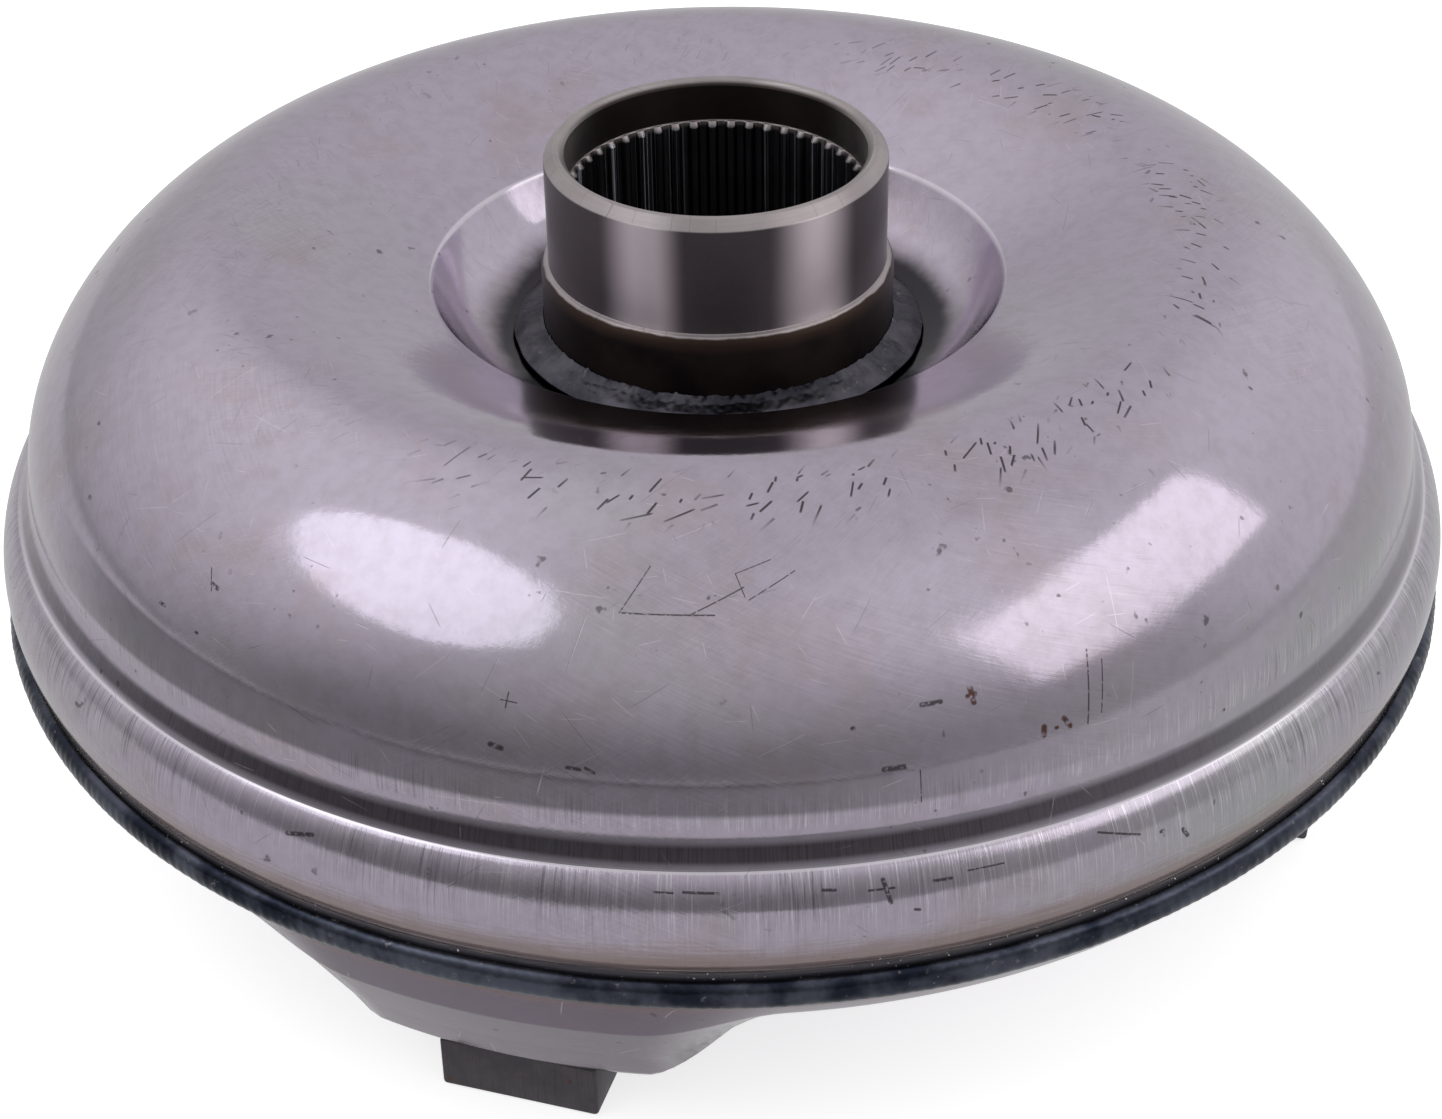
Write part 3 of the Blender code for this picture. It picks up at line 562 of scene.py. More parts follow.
    height = t.multiply(t.noise(spot, 22, 2, 0.4), 0.00014)
    height = t.add(height, t.multiply(fine, 0.000020))
    height = t.add(height, t.multiply(wipes, 0.000011))
    height = t.add(height, t.multiply(t.noise(spot, 110, 3, 0.7), 0.000024))
    height = t.minus(height, t.multiply(hair, 0.000008))
    height = t.minus(height, t.multiply(t.multiply(streak_zone, streaks), 0.00004))
    metallic = t.minus(1.0, t.multiply(browned, 0.6))
    return t.finish(colour, roughness, height, metallic)


def weld_look(name, dark, light, roughness):
    """A weld bead: heat-blackened, glossy, mottled blue and grey."""
    t = new_tree(name)
    spot = t.position()
    cloud = t.noise(spot, 70, 4, 0.6)
    fine = t.noise(spot, 500, 4, 0.6)
    colour = t.mix(t.between(cloud, 0.38, 0.66), dark, light)
    colour = t.mix(t.between(fine, 0.62, 0.75, 0.0, 0.5), colour, (0.30, 0.28, 0.29))
    rough = t.add(t.between(cloud, 0.3, 0.7, roughness, roughness + 0.12), t.multiply(fine, 0.06))
    height = t.add(t.multiply(cloud, 0.00025), t.multiply(fine, 0.00004))
    return t.finish(colour, rough, height)


def machined_look(name, colour_a, colour_b, roughness, oxide_and_painted_light=False):
    """Turned and ground metal: fine lines round the axis, a few scratches, and, if asked, the hub's oxide
    together with painted reflections, highlights and shade.
    """
    t = new_tree(name)
    angle, radius, unit = t.polar()
    spot = t.position()
    level = t.part(spot, 2)
    line_place = t.vector(t.multiply(level, 5200), t.multiply(radius, 5200), t.multiply(angle, 0.6))
    lines = t.noise(line_place, 1.0, 3, 0.7)
    cloud = t.noise(spot, 55, 4, 0.6)
    colour = t.mix(t.between(cloud, 0.35, 0.70), colour_a, colour_b)
    colour = t.mix(t.between(lines, 0.45, 0.75, 0.0, 0.30), colour, (0.24, 0.22, 0.21))
    sheet = t.vector(t.multiply(angle, JOURNAL_RADIUS), t.add(level, radius))
    scratches = cell_scratches(t, sheet, 0.009, 0.0080, 0.00010, 2.2)
    colour = t.mix(t.multiply(scratches, 0.35), colour, MARK)
    rough = t.add(roughness, t.multiply(t.between(cloud, 0.3, 0.7), 0.06))
    if oxide_and_painted_light:
        inner = t.between(radius, MOUTH_RADIUS + 0.0004, MOUTH_RADIUS - 0.0002)
        counterbore = t.multiply(inner, t.between(level, HUB_TOP - 0.0002, HUB_TOP - 0.0010))
        above_ledge = t.between(level, LEDGE_HEIGHT - 0.0002, LEDGE_HEIGHT + 0.0003)
        counterbore = t.multiply(counterbore, above_ledge)
        away_side = t.sector(t.size(angle), 98, 135, 0.35, 0.96)
        colour = t.mix(t.multiply(counterbore, away_side), colour, (0.030, 0.023, 0.019))
        # Splines: painted dark, with a few flanks painted bright as glints (painted highlights)
        teeth = t.multiply(inner, t.between(level, LEDGE_HEIGHT - 0.0002, LEDGE_HEIGHT - 0.0016))
        colour = t.mix(t.multiply(teeth, 0.95), colour, (0.020, 0.021, 0.027))
        glinting_flanks = t.between(t.noise(t.vector(t.multiply(angle, 30), 0.0), 1.0, 2, 0.8), 0.53, 0.60)
        clusters = t.noise(t.vector(t.multiply(angle, 2.5), 5.0), 1.0, 1)
        glinting_flanks = t.multiply(glinting_flanks, t.between(clusters, 0.42, 0.55))
        colour = t.mix(t.multiply(t.multiply(teeth, glinting_flanks), 0.85), colour, (0.80, 0.84, 0.95))
        # Journal: painted reflections of the softboxes, as upright light bands by angle from the viewer on
        # either side of a dark middle and on the far side
        journal = t.multiply(t.between(level, SHOULDER_HEIGHT + 0.0006, SHOULDER_HEIGHT + 0.0009),
                             t.between(level, HUB_TOP - 0.0020, HUB_TOP - 0.0024))
        journal = t.multiply(journal, t.between(radius, JOURNAL_RADIUS - 0.0010, JOURNAL_RADIUS - 0.0005))
        left = t.multiply(t.sector(angle, -42, -27), t.sector(angle, -10, -21))
        left = t.multiply(left, 0.78)
        right = t.multiply(t.sector(angle, 16, 33), t.sector(angle, 52, 34))
        back = t.sector(t.size(angle), 75, 100, 0.0, 0.6)
        lit = t.most(t.most(left, right), back)
        painted_reflection_bands = t.mix(lit, (0.075, 0.066, 0.068), (1.0, 0.93, 0.92))
        colour = t.mix(t.multiply(journal, 0.90), colour, painted_reflection_bands)
        # Below the shoulder: black oxide of the weld's heat, darkened further as a painted reflection of
        # the dark dish
        edge = t.multiply(t.minus(t.noise(spot, 160, 3), 0.5), 0.0010)
        below = t.add(level, edge)
        low = t.between(below, SHOULDER_HEIGHT + 0.0002, SHOULDER_HEIGHT - 0.0002)
        low = t.multiply(low, t.between(radius, MOUTH_RADIUS + 0.001, MOUTH_RADIUS + 0.002))
        oxide_and_reflection_colour = t.mix(t.between(cloud, 0.35, 0.65), OXIDE_AND_DARK_REFLECTION, OXIDE_AND_DARK_REFLECTION_LIGHT)
        tempered = t.between(below, SHOULDER_HEIGHT - 0.0040, SHOULDER_HEIGHT - 0.0004)
        oxide_and_reflection_colour = t.mix(tempered, oxide_and_reflection_colour, OXIDE_TEMPERED)
        colour = t.mix(low, colour, oxide_and_reflection_colour)
        rough = t.add(rough, t.multiply(low, 0.05))
    t.feed(t.shader.inputs["Anisotropic"], 0.85)
    t.feed(t.shader.inputs["Anisotropic Rotation"], 0.25)
    t.feed(t.shader.inputs["Tangent"], t.node("Tangent", direction_type="RADIAL", axis="Z").outputs[0])
    height = t.add(t.multiply(lines, 0.000010), t.multiply(cloud, 0.00005))
    height = t.minus(height, t.multiply(scratches, 0.00001))
    return t.finish(colour, rough, height)


def lug_look(name):
    """Milled block, darkened by heat and oil, with fine upright cutter lines."""
    t = new_tree(name)
    spot = t.position()
    lines = t.noise(t.scaled(spot, (2600, 2600, 90)), 1.0, 3, 0.65)
    cloud = t.noise(spot, 120, 5, 0.62)
    colour = t.mix(t.between(cloud, 0.35, 0.68), (0.080, 0.073, 0.082), (0.125, 0.114, 0.128))
    colour = t.mix(t.between(lines, 0.48, 0.72, 0.0, 0.5), colour, (0.07, 0.06, 0.062))
    colour = t.mix(t.between(t.noise(spot, 420, 3), 0.64, 0.72, 0.0, 0.6), colour, RUST)
    rough = t.between(cloud, 0.3, 0.7, 0.42, 0.60)
    height = t.add(t.multiply(lines, 0.00003), t.multiply(cloud, 0.00008))
    return t.finish(colour, rough, height)


def cast_look(name, colour_a, colour_b, roughness, grain):
    """Cast or blasted metal with a fine pitted skin."""
    t = new_tree(name)
    spot = t.position()
    cloud = t.noise(spot, 45, 4, 0.6)
    pits = t.noise(spot, grain, 4, 0.7)
    colour = t.mix(t.between(cloud, 0.35, 0.68), colour_a, colour_b)
    colour = t.mix(t.between(pits, 0.55, 0.75, 0.0, 0.4), colour, (0.22, 0.21, 0.20))
    rough = t.between(cloud, 0.3, 0.7, roughness, roughness + 0.12)
    return t.finish(colour, rough, t.multiply(pits, 0.00007))


# ---------------------------------------------------------------- pieces of the housing

def shell_outside():
    """Outside of the pump shell, from the seam over the crest to the hub."""
    skirt = [(BUTT_RADIUS, SEAM_HEIGHT + GAP), (BUTT_RADIUS, 0.0556)]
    bead = ellipse((0.1560, BEAD_HEIGHT), BEAD_RADIUS - 0.1560, 0.0128, -40, 0, 14)
    bead += bezier((BEAD_RADIUS, BEAD_HEIGHT), (BEAD_RADIUS, BEAD_HEIGHT + 0.0074),
                   (CREASE[0] + 0.0017, CREASE[1] - 0.0007), CREASE, 36)[1:]
    groove = bezier(CREASE, (CREASE[0] - 0.0008, CREASE[1] + 0.0018),
                    (WALL_RADIUS + 0.0001, WALL_HEIGHT - 0.0025), (WALL_RADIUS, WALL_HEIGHT), 16)[1:]
    shoulder = bezier((WALL_RADIUS, WALL_HEIGHT), (WALL_RADIUS, WALL_HEIGHT + 0.021),
                      (CREST_RADIUS + 0.021, CREST_HEIGHT), (CREST_RADIUS, CREST_HEIGHT), 60)
    slope = radians(22.5)
    crown = bezier((CREST_RADIUS, CREST_HEIGHT), (CREST_RADIUS - 0.009, CREST_HEIGHT),
                   (LIP_RADIUS + 0.025, LIP_HEIGHT + 0.025 * tan(slope)),
                   (LIP_RADIUS + 0.0007, LIP_HEIGHT + 0.0003), 36)
    lip = bezier((LIP_RADIUS + 0.0007, LIP_HEIGHT + 0.0003), (LIP_RADIUS + 0.0001, LIP_HEIGHT + 0.00005),
                 (LIP_RADIUS - 0.0001, LIP_HEIGHT - 0.0002), (LIP_RADIUS - 0.0005, LIP_HEIGHT - 0.0009), 6)
    dish = bezier((LIP_RADIUS - 0.0005, LIP_HEIGHT - 0.0009), (LIP_RADIUS - 0.0045, LIP_HEIGHT - 0.0078),
                  (0.0552, 0.1062), (0.0462, 0.1046), 24)
    hole = [(HUB_BASE_RADIUS + GAP, 0.1034)]
    return skirt + bead + groove + shoulder[1:] + crown[1:] + lip[1:] + dish[1:] + hole


def wall_behind(outside, thickness):
    """[(index of the outside point, inside point)], without the points that a tight bend folds over."""
    line = np.array(outside)
    kept = []
    for i, point in enumerate(offset(outside, thickness)):
        nearest = np.min(np.linalg.norm(line - point, axis=1))
        if nearest > abs(thickness) * 0.985:
            kept.append((i, point))
    return kept


def build_pump_shell(look):
    outside = shell_outside()
    wall = wall_behind(outside, -SHELL_THICKNESS)
    inside = [point for _, point in wall]
    inside[0] = (inside[0][0], outside[0][1])
    inside[-1] = (outside[-1][0], inside[-1][1])
    arcs = arc_lengths(outside)
    crease = arcs[next(i for i, p in enumerate(outside) if p[1] > CREASE[1] - 0.000001)]
    both = arcs + [arcs[i] for i, _ in wall[::-1]]
    attributes = {
        "arc": both,
        "from_seam": both,
        "from_hub": [arcs[-1] - s for s in both],
        "from_crease": [s - crease for s in both],
    }
    shell = turned("pump_shell_skin", outside + inside[::-1], 384, attributes=attributes)
    place(shell, look, "housing", "pump_shell")


def cover_sections():
    """Outside and inside of the cover, between the lobes and in the middle of a lobe."""
    rim = [(BUTT_RADIUS, SEAM_HEIGHT - GAP), (BUTT_RADIUS, 0.0479)]
    centre = [(PILOT_RADIUS + GAP, FLOOR_HEIGHT)]
    plain = rim + [(0.1571, 0.0410), (0.1446, 0.0296), (0.1347, 0.0231), (0.1220, FLOOR_HEIGHT),
                   (0.1100, FLOOR_HEIGHT), (0.0960, FLOOR_HEIGHT)] + centre
    lobed = rim + [(0.1592, 0.0371), (0.1528, 0.0250), (0.1483, 0.0162), (0.1455, LOBE_HEIGHT),
                   (0.1180, LOBE_HEIGHT), (0.1040, FLOOR_HEIGHT)] + centre
    radii_plain = (0.012, 0.02, 0.03, 0.03, 0.03, 0.01, 0.01)
    radii_lobed = (0.010, 0.004, 0.02, 0.006, 0.003, 0.012, 0.012)
    return rounded(plain, radii_plain, 6), rounded(lobed, radii_lobed, 6)


def build_cover(look):
    plain, lobed = cover_sections()
    sections = []
    for shape in (plain, lobed):
        inside = offset(shape, COVER_THICKNESS)
        inside[0] = (inside[0][0], shape[0][1])
        inside[-1] = (shape[-1][0], inside[-1][1])
        sections.append(np.array(shape + inside[::-1]))
    arcs = arc_lengths(plain)
    quarter = 2 * pi / LOBE_COUNT
    columns = 384
    rows = []
    for i in range(columns):
        a = 2 * pi * i / columns
        away = abs((a + quarter / 2) % quarter - quarter / 2)
        share = clamped((LOBE_END_ANGLE - away) / (LOBE_END_ANGLE - LOBE_FLAT_ANGLE))
        weight = share * share * (3 - 2 * share)
        line = sections[0] * (1 - weight) + sections[1] * weight
        rows.append([(r * cos(a), r * sin(a), z) for r, z in line])
    both = arcs + arcs[::-1]
    attributes = {"arc": both, "from_seam": [s * 1.7 for s in both], "from_crease": [1.0] * len(both)}
    cover = grid_mesh("front_cover_skin", rows, attributes=attributes)
    place(cover, look, "housing", "front_cover")


def build_seam_weld(look):
    """Rolling bead with fine ripples where each pass of the arc stopped."""
    half_height = 0.0032
    centre = (BUTT_RADIUS + GAP, SEAM_HEIGHT - 0.0010)
    profile = ellipse(centre, SEAM_RADIUS - BUTT_RADIUS - GAP, half_height, -90, 90, 12)
    ripples = 400

    def shape(k, a, r, z):
        bulge = max(cos(radians(-90 + 15 * k)), 0)
        ripple = 0.00007 * sin(ripples * a + 1.6 * sin(radians(-90 + 15 * k)))
        wander = noise_round(a, 9, 0.3)
        rough = noise_round(a, 60, z * 300)
        return r + bulge * (ripple + 0.00022 * wander + 0.00010 * rough - 0.0002), z + 0.0003 * wander

    bead = turned("seam_weld_bead", profile, 1600, shape, smooth_angle=60)
    place(bead, look, "housing", "seam_weld")


def build_hub_weld(look):
    """Ring of weld between the hub and the dish, with a torn upper edge."""
    near = HUB_BASE_RADIUS + GAP * 0.5
    corners = [(near, 0.1039), (0.0455, 0.1050), (0.0460, 0.1055), (0.0436, 0.1069), (0.0412, 0.1078),
               (near, 0.1088)]
    profile = subdivided(rounded(corners, (0.0004, 0.0008, 0.004, 0.004), 4), 0.0006)

    def shape(k, a, r, z):
        up = clamped((z - 0.1050) / 0.0036)
        wander = noise_round(a, 7, z * 120)
        rough = noise_round(a, 45, r * 900)
        tear = max(noise_round(a, 38, 4.0), 0)
        lift = up * (0.00035 * wander + 0.00022 * rough) + up ** 3 * 0.0008 * tear
        return r + (0.00025 * wander if r > 0.043 else 0), z + lift

    ring = turned("hub_weld_ring", profile, 640, shape, smooth_angle=60)
    place(ring, look, "housing", "hub_weld")


def toothed_angles(teeth):
    """Column angles that follow the corners of the teeth; each pitch starts in the middle of a groove."""
    shares = (-0.17, -0.06, 0.06, 0.17, 0.25, 0.34, 0.44, 0.56, 0.66, 0.75)
    return [2 * pi / teeth * (i + share) for i in range(teeth) for share in shares]


def tooth_share(a, teeth):
    """0 in a groove, 1 on a tooth's rounded tip."""
    pitch = 2 * pi / teeth
    away = abs((a / pitch + 0.5) % 1 - 0.5)
    share = clamped((away - 0.17) / (0.44 - 0.17))
    return sin(share * pi / 2) ** 0.8


def build_pump_hub(look):
    relief = SPLINE_ROOT + 0.0006
    chamfer_start = MOUTH_RADIUS + 0.0013
    outer = [(relief, HUB_BOTTOM), (HUB_BASE_RADIUS, HUB_BOTTOM),
             (HUB_BASE_RADIUS, SHOULDER_HEIGHT - 0.0014),
             (JOURNAL_RADIUS + 0.0012, SHOULDER_HEIGHT - 0.0002),
             (JOURNAL_RADIUS + 0.0008, SHOULDER_HEIGHT + 0.0003),
             (JOURNAL_RADIUS, SHOULDER_HEIGHT + 0.0006), (JOURNAL_RADIUS, HUB_TOP - 0.0023),
             (JOURNAL_RADIUS - 0.0003, HUB_TOP - 0.0019), (chamfer_start, HUB_TOP), (MOUTH_RADIUS, HUB_TOP),
             (COUNTERBORE_RADIUS, HUB_TOP - 0.0012), (COUNTERBORE_RADIUS, LEDGE_HEIGHT)]
    teeth = [(SPLINE_ROOT - 0.0003, LEDGE_HEIGHT - 0.0001), (SPLINE_TIP, LEDGE_HEIGHT - 0.0013)]
    teeth += [(SPLINE_TIP, SPLINE_END), (relief, SPLINE_END - 0.0004)]
    profile = outer + teeth
    first = len(outer)
    landings = {first: 0.0006, first + 1: 1.0, first + 2: 1.0}

    def shape(k, a, r, z):
        if k not in landings:
            return r, z
        share = tooth_share(a, SPLINE_TEETH)
        if k == first:
            return SPLINE_ROOT - 0.0003 * share, z
        return SPLINE_ROOT - (SPLINE_ROOT - SPLINE_TIP) * share, z

    hub = turned("pump_hub_sleeve", profile, toothed_angles(SPLINE_TEETH), shape, smooth_angle=24)
    bevel = hub.modifiers.new("edges", "BEVEL")
    bevel.width = 0.00018
    bevel.segments = 2
    bevel.limit_method = "ANGLE"
    bevel.angle_limit = radians(28)
    place(hub, look, "housing", "pump_hub")


def build_inner_race(look):
    teeth = 22
    tip = 0.0262
    root = 0.0278
    low, high = race_low.z, race_high.z
    outer = [(race_high.x - 0.0004, low), (race_high.x, low + 0.0004), (race_high.x, high - 0.0004),
             (race_high.x - 0.0004, high)]
    bore = [(root + 0.0003, high), (tip, high - 0.0008), (tip, low + 0.0008), (root + 0.0003, low)]

    def shape(k, a, r, z):
        if r > tip:
            return r, z
        return root - (root - tip) * tooth_share(a, teeth), z

    race = turned("inner_race_ring", outer + bore, toothed_angles(teeth), shape, smooth_angle=24)
    place(race, look, "stator_support", "freewheel_inner_race")


def build_lugs(look):
    """Milled blocks with small chamfers and a threaded hole that opens downwards."""
    depth = lug_high.x - lug_low.x
    width = lug_high.y - lug_low.y
    high = lug_high.z - lug_low.z
    middle = (lug_high.x + lug_low.x) / 2
    turns = 8
    pitch = 0.00125
    minor = 0.0045
    major = 0.0050
    thread = [(0.0, -0.001), (major + 0.0006, -0.001), (major + 0.0006, 0.0), (minor + 0.0002, 0.0007)]
    for i in range(turns):
        base = 0.0007 + i * pitch
        thread += [(major, base + pitch * 0.5), (minor, base + pitch * 0.9), (minor, base + pitch)]
    thread += [(0.0, thread[-1][1] + 0.0015)]
    for i in range(LOBE_COUNT):
        turn = 2 * pi * i / LOBE_COUNT
        bm = bmesh.new()
        bmesh.ops.create_cube(bm, size=1)
        bmesh.ops.scale(bm, vec=(depth, width, high), verts=bm.verts[:])
        bmesh.ops.translate(bm, vec=(0, 0, high / 2), verts=bm.verts[:])
        bmesh.ops.bevel(bm, geom=bm.edges[:], offset=0.0009, segments=3, profile=0.5, affect="EDGES")
        name = "drive_lug_block_%d" % (i + 1)
        block = linked(name, mesh_of(bm, name))
        cutter = solid_of_revolution("lug_hole_cutter", thread, 32)
        hole = block.modifiers.new("threaded_hole", "BOOLEAN")
        hole.operation = "DIFFERENCE"
        hole.object = cutter
        bpy.context.view_layer.update()
        graph = bpy.context.evaluated_depsgraph_get()
        block.data = bpy.data.meshes.new_from_object(block.evaluated_get(graph))
        block.modifiers.clear()
        bpy.data.objects.remove(cutter)
        smoothed(block.data, 28)
        block.data.materials.clear()
        block.data.transform(Matrix.Rotation(turn, 4, "Z") @ Matrix.Translation((middle, 0, 0)))
        place(block, look, "housing", "drive_lug_%d" % (i + 1))


def solid_of_revolution(name, profile, columns):
    """A solid whose profile starts and ends on the axis."""
    bm = bmesh.new()
    rings = []
    for r, z in profile:
        if r == 0:
            rings.append([bm.verts.new((0, 0, z))] * columns)
        else:
            steps = [2 * pi * i / columns for i in range(columns)]
            rings.append([bm.verts.new((r * cos(a), r * sin(a), z)) for a in steps])
    for lower, upper in zip(rings, rings[1:]):
        for i in range(columns):
            m = (i + 1) % columns
            corners = []
            for vert in (lower[i], lower[m], upper[m], upper[i]):
                if vert not in corners:
                    corners.append(vert)
            if len(corners) > 2:
                bm.faces.new(corners)
    bmesh.ops.recalc_face_normals(bm, faces=bm.faces[:])
    mesh = mesh_of(bm, name)
    smoothed(mesh, 28)
    return linked(name, mesh)


def build_pilot(look, weld):
    """Pilot boss with a chamfered nose and a centre drilled in its face."""
    flange_low = FLOOR_HEIGHT + COVER_THICKNESS + GAP
    face = pilot_low.z
    edge = PILOT_RADIUS
    profile = [(0.0, face + 0.0035), (0.0022, face + 0.0013), (0.0036, face), (edge - 0.0022, face),
               (edge, face + 0.0022), (edge, flange_low), (pilot_high.x, flange_low),
               (pilot_high.x, pilot_high.z), (0.0140, pilot_high.z), (0.0140, 0.0120), (0.0, 0.0120)]
    boss = solid_of_revolution("pilot_boss_nose", profile, 128)
    place(boss, look, "housing", "pilot_boss")
    toe = FLOOR_HEIGHT - GAP
    corners = [(edge + GAP * 0.5, toe), (edge + GAP * 0.5, toe - 0.0047), (edge + 0.0030, toe - 0.0036),
               (edge + 0.0050, toe)]
    section = subdivided(rounded(corners, (0.0006, 0.004), 4), 0.0006)

    def shape(k, a, r, z):
        low = clamped((toe - z) / 0.004)
        ripple = 0.00012 * sin(90 * a + r * 900)
        wander = noise_round(a, 8, z * 120)
        return r + low * 0.0002 * wander, z + low * (ripple + 0.0003 * wander)

    ring = turned("pilot_weld_ring", section, 480, shape, smooth_angle=60)
    place(ring, weld, "housing", "pilot_weld")


# ---------------------------------------------------------------- surroundings

# Brightness of the room overhead, at eye level behind and in front of the camera's side, and of the
# lit sheet on the floor; the floor's own glow is for the camera only
SKY_LEVEL = 0.70
HORIZON_MEAN = 0.42
HORIZON_SWING = 0.20
SHEET_LEVEL = 0.60
SHEET_RADIUS = 1.2
SHEET_FADE = 0.4
FLOOR_GLOW = 0.70
FLOOR_GAP = 0.0002
LIGHT_DISTANCE = 1.6
# Soft glows in the room: degrees to the viewer's right, degrees up, outer and inner half angle, brightness
ROOM_GLOWS = ((-108, 38, 52, 12, 0.26), (58, 50, 32, 8, 0.16), (115, 14, 45, 15, 0.18))


def viewer_direction(side_degrees, up_degrees):
    """Unit direction from the object, by degrees to the right of the viewer and up."""
    turn = VIEW_TURN + radians(side_degrees)
    up = radians(up_degrees)
    return Vector((sin(turn) * cos(up), -cos(turn) * cos(up), sin(up)))


def horizon_level(t, direction):
    """Brightness of the room at eye level: darkest on the viewer's side, a little to the left."""
    flat = t.vector_math("NORMALIZE", t.scaled(direction, (1, 1, 0)))
    turn = VIEW_TURN - radians(30)
    darkest = Vector((sin(turn), -cos(turn), 0))
    facing = t.vector_math("DOT_PRODUCT", flat, darkest, output="Value")
    return t.add(t.multiply(facing, -HORIZON_SWING), HORIZON_MEAN)


def build_floor():
    """Wide pale floor. The metal sees it as a lit sheet round the object, in a dimmer room."""
    bm = bmesh.new()
    bmesh.ops.create_circle(bm, cap_ends=True, segments=96, radius=6.0)
    mesh = mesh_of(bm, "studio_floor")
    mesh.transform(Matrix.Translation((0, 0, -FLOOR_GAP)))
    t = new_tree("pale_floor")
    shader = t.shader
    shader.inputs["Base Color"].default_value = (0.80, 0.80, 0.80, 1)
    shader.inputs["Roughness"].default_value = 0.9
    shader.inputs["Specular IOR Level"].default_value = 0.0
    rays = t.node("LightPath")
    glow = t.node("Emission", {"Color": (1, 1, 1, 1), "Strength": FLOOR_GLOW})
    seen = t.node("AddShader", {0: shader.outputs[0], 1: glow.outputs[0]})
    angle, radius, unit = t.polar()
    level = horizon_level(t, unit)
    sheet = t.between(radius, SHEET_RADIUS + SHEET_FADE, SHEET_RADIUS)
    level = t.add(t.multiply(level, t.minus(1.0, sheet)), t.multiply(sheet, SHEET_LEVEL))
    mirrored = t.node("Emission", {"Color": (1, 1, 1, 1), "Strength": level})
    both = t.node("MixShader", {0: rays.outputs["Is Glossy Ray"], 1: seen.outputs[0],
                                2: mirrored.outputs[0]})
    t.links.new(both.outputs[0], t.nodes["Material Output"].inputs["Surface"])
    mesh.materials.append(t.owner)
    linked("studio_floor", mesh)


def build_world():
    """Soft room light: even above, dim at eye level in front, and white where the camera sees it."""
    world = bpy.data.worlds.new("studio_room")
    bpy.context.scene.world = world
    t = Tree(world)
    direction = t.node("TexCoord").outputs["Generated"]
    up = t.part(direction, 2)
    high = t.between(up, sin(radians(4)), sin(radians(66)))
    low = horizon_level(t, direction)
    level = t.add(t.multiply(low, t.minus(1.0, high)), t.multiply(high, SKY_LEVEL))
    for side, height, wide, narrow, amount in ROOM_GLOWS:
        towards = viewer_direction(side, height)
        near = t.vector_math("DOT_PRODUCT", direction, towards, output="Value")
        level = t.add(level, t.between(near, cos(radians(wide)), cos(radians(narrow)), 0.0, amount))
    room = t.node("Background", {"Color": (1, 1, 1, 1), "Strength": level})
    white = t.node("Background", {"Color": (1, 1, 1, 1), "Strength": 1.0})
    rays = t.node("LightPath")
    chosen = t.node("MixShader", {0: rays.outputs["Is Camera Ray"], 1: room.outputs[0],
                                  2: white.outputs[0]})
    t.links.new(chosen.outputs[0], t.nodes["World Output"].inputs["Surface"])


def softbox(name, side_degrees, up_degrees, width, height, brightness, colour, shape):
    """A flat light aimed at the dome, by its direction from the viewer's side."""
    light = bpy.data.lights.new(name, "AREA")
    light.shape = shape
    light.size = width
    light.size_y = height
    light.energy = brightness * pi * width * height
    light.color = colour
    lamp = linked(name, light)
    away = viewer_direction(side_degrees, up_degrees)
    lamp.location = Vector((0, 0, SEAM_HEIGHT)) + away * LIGHT_DISTANCE
    lamp.rotation_euler = away.to_track_quat("Z", "Y").to_euler()


def build_camera():
    data = bpy.data.cameras.new("camera")
    data.lens = LENS
    data.sensor_width = SENSOR_WIDTH
    data.clip_end = 50
    camera = linked("camera", data)
    forward = Vector((0, cos(CAMERA_PITCH), -sin(CAMERA_PITCH)))
    right = Vector((1, 0, 0))
    up = Vector((0, sin(CAMERA_PITCH), cos(CAMERA_PITCH)))
    x_axis = right * cos(CAMERA_ROLL) + up * sin(CAMERA_ROLL)
    y_axis = up * cos(CAMERA_ROLL) - right * sin(CAMERA_ROLL)
    facing = Matrix((x_axis, y_axis, -forward)).transposed().to_4x4()
    spot = Vector(CAMERA_SPOT) * SEAM_RADIUS + Vector((0, 0, SEAM_HEIGHT))
    camera.matrix_world = Matrix.Rotation(VIEW_TURN, 4, "Z") @ Matrix.Translation(spot) @ facing
    bpy.context.scene.camera = camera


# ---------------------------------------------------------------- assembly

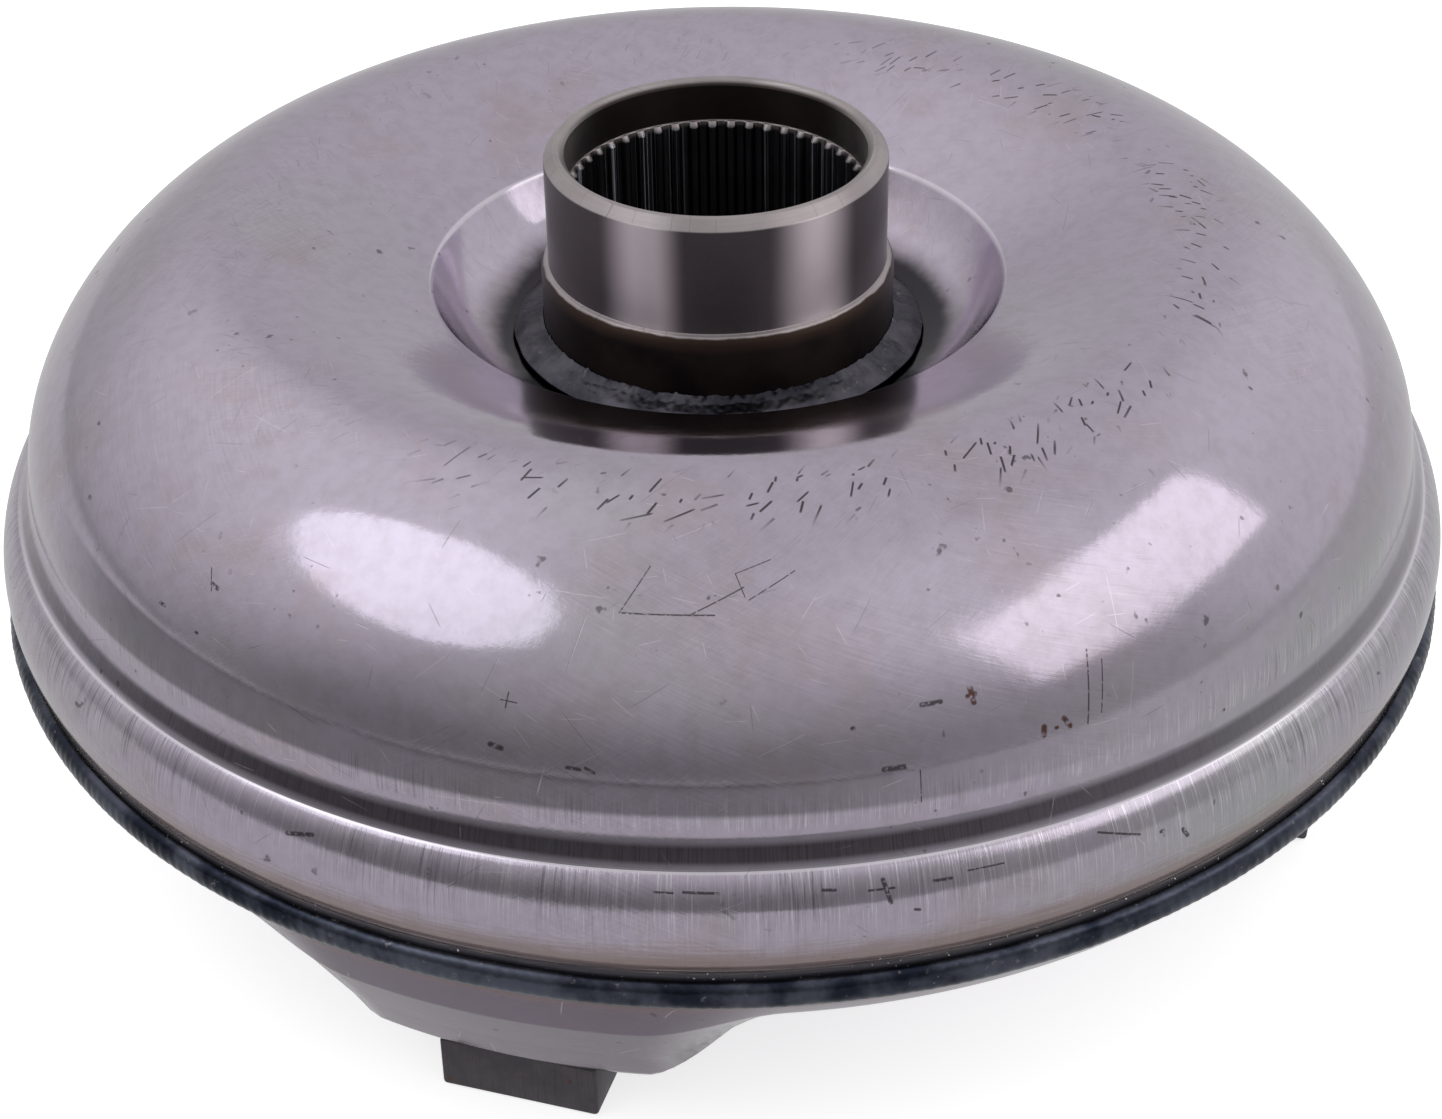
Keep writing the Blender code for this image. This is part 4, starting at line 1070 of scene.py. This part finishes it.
dome_marks = [
    (-7.8, 0.0757, -0.7, 0.0757, 0.00022, 0.136), (-8.0, 0.0757, -5.9, 0.0849, 0.00016, 0.132),
    (-2.6, 0.0757, 1.7, 0.0810, 0.00018, 0.134), (1.9, 0.0783, 5.8, 0.0836, 0.00016, 0.132),
    (1.0, 0.0836, 3.9, 0.0861, 0.00014, 0.130), (1.7, 0.0790, 1.0, 0.0836, 0.00014, 0.131),
    (27.1, 0.0587, 26.0, 0.0452, 0.00022, 0.151), (28.1, 0.0561, 27.2, 0.0464, 0.00018, 0.151),
    (13.9, 0.0561, 15.3, 0.0561, 0.00060, 0.149), (10.8, 0.0452, 12.2, 0.0452, 0.00075, 0.154),
    (13.3, 0.0441, 13.3, 0.0375, 0.00016, 0.155), (8.8, 0.0536, 8.9, 0.0536, 0.00050, 0.150),
    (38.1, 0.0354, 38.2, 0.0354, 0.00050, 0.156), (-15.5, 0.0590, -15.6, 0.0558, 0.00018, 0.149),
    (-16.0, 0.0575, -14.8, 0.0573, 0.00016, 0.149), (-16.4, 0.0490, -15.6, 0.0486, 0.00070, 0.152),
    (-10.9, 0.0466, -10.0, 0.0464, 0.00050, 0.153), (-9.6, 0.0468, -9.0, 0.0460, 0.00040, 0.153),
    (-46.7, 0.0524, -46.1, 0.0524, 0.00050, 0.151), (-42.2, 0.0512, -42.0, 0.0512, 0.00040, 0.152),
    (-42.9, 0.0639, -42.0, 0.0600, 0.00018, 0.146), (-42.2, 0.0613, -41.5, 0.0610, 0.00060, 0.146),
    (-31.0, 0.0205, -29.0, 0.0220, 0.00060, 0.162), (-4.8, 0.0232, -3.6, 0.0231, 0.00028, 0.161),
    (-2.9, 0.0233, -0.6, 0.0231, 0.00036, 0.161), (6.2, 0.0228, 7.0, 0.0226, 0.00040, 0.161),
    (9.2, 0.0218, 10.9, 0.0217, 0.00030, 0.162), (10.2, 0.0235, 10.6, 0.0190, 0.00060, 0.162),
    (13.6, 0.0218, 14.8, 0.0217, 0.00040, 0.162), (16.0, 0.0225, 18.5, 0.0224, 0.00022, 0.162),
    (25.6, 0.0230, 28.7, 0.0197, 0.00030, 0.162), (30.4, 0.0185, 30.6, 0.0185, 0.00050, 0.163),
    (32.2, 0.0170, 32.6, 0.0152, 0.00060, 0.163), (12.2, 0.0168, 12.5, 0.0166, 0.00040, 0.163),
]
dome_rust = [
    (17.6, 0.0574, 17.7, 0.0548, 0.00075, 0.149), (17.3, 0.0561, 17.9, 0.0563, 0.00060, 0.149),
    (22.6, 0.0470, 22.5, 0.0455, 0.00080, 0.153), (24.2, 0.0476, 24.6, 0.0458, 0.00070, 0.153),
    (23.5, 0.0462, 23.6, 0.0462, 0.00050, 0.153),
]
shell = shell_look("pressed_steel", dome_marks, dome_rust)
cover = shell_look("pressed_steel_cover", darkened=0.60, scuff_ring=False, dish=False)
seam = weld_look("seam_bead", (0.018, 0.022, 0.035), (0.090, 0.098, 0.130), 0.16)
root = weld_look("root_bead", (0.036, 0.035, 0.045), (0.105, 0.10, 0.118), 0.20)
turned_steel = machined_look("turned_steel", (0.40, 0.355, 0.365), (0.50, 0.45, 0.46), 0.34, oxide_and_painted_light=True)
race_steel = machined_look("ground_steel", (0.42, 0.41, 0.41), (0.52, 0.51, 0.50), 0.30)
lug_steel = lug_look("milled_lug")

build_pump_shell(shell)
build_cover(cover)
build_seam_weld(seam)
build_hub_weld(root)
build_pump_hub(turned_steel)
build_inner_race(race_steel)
build_lugs(lug_steel)
build_pilot(turned_steel, root)

carried = {
    "blade_steel": cast_look("brazed_blades", (0.36, 0.34, 0.33), (0.46, 0.44, 0.42), 0.34, 500),
    "inner_steel": cast_look("pressed_inner", (0.42, 0.40, 0.40), (0.52, 0.50, 0.49), 0.30, 500),
    "bearing_steel": race_steel,
    "machined_steel": race_steel,
    "bush_bronze": machined_look("turned_bronze", (0.52, 0.34, 0.15), (0.62, 0.43, 0.20), 0.28),
    "cast_aluminium": cast_look("cast_aluminium", (0.60, 0.60, 0.60), (0.74, 0.74, 0.73), 0.40, 700),
}
slot_of = {part["node"]: part["material_slot"] for part in frame["record"]["subparts"]}
for node_name, node_object in frame["nodes"].items():
    look = carried.get(slot_of[node_name])
    if look:
        node_object.data.materials.clear()
        node_object.data.materials.append(look)

build_floor()
build_world()
softbox("softbox_left", -64, 50, 1.12, 0.80, 0.62, (0.95, 0.98, 1.0), "ELLIPSE")
softbox("softbox_right", 71, 34, 1.36, 0.68, 0.74, (1.0, 0.98, 0.97), "RECTANGLE")
build_camera()
bpy.context.scene.view_settings.view_transform = "Standard"
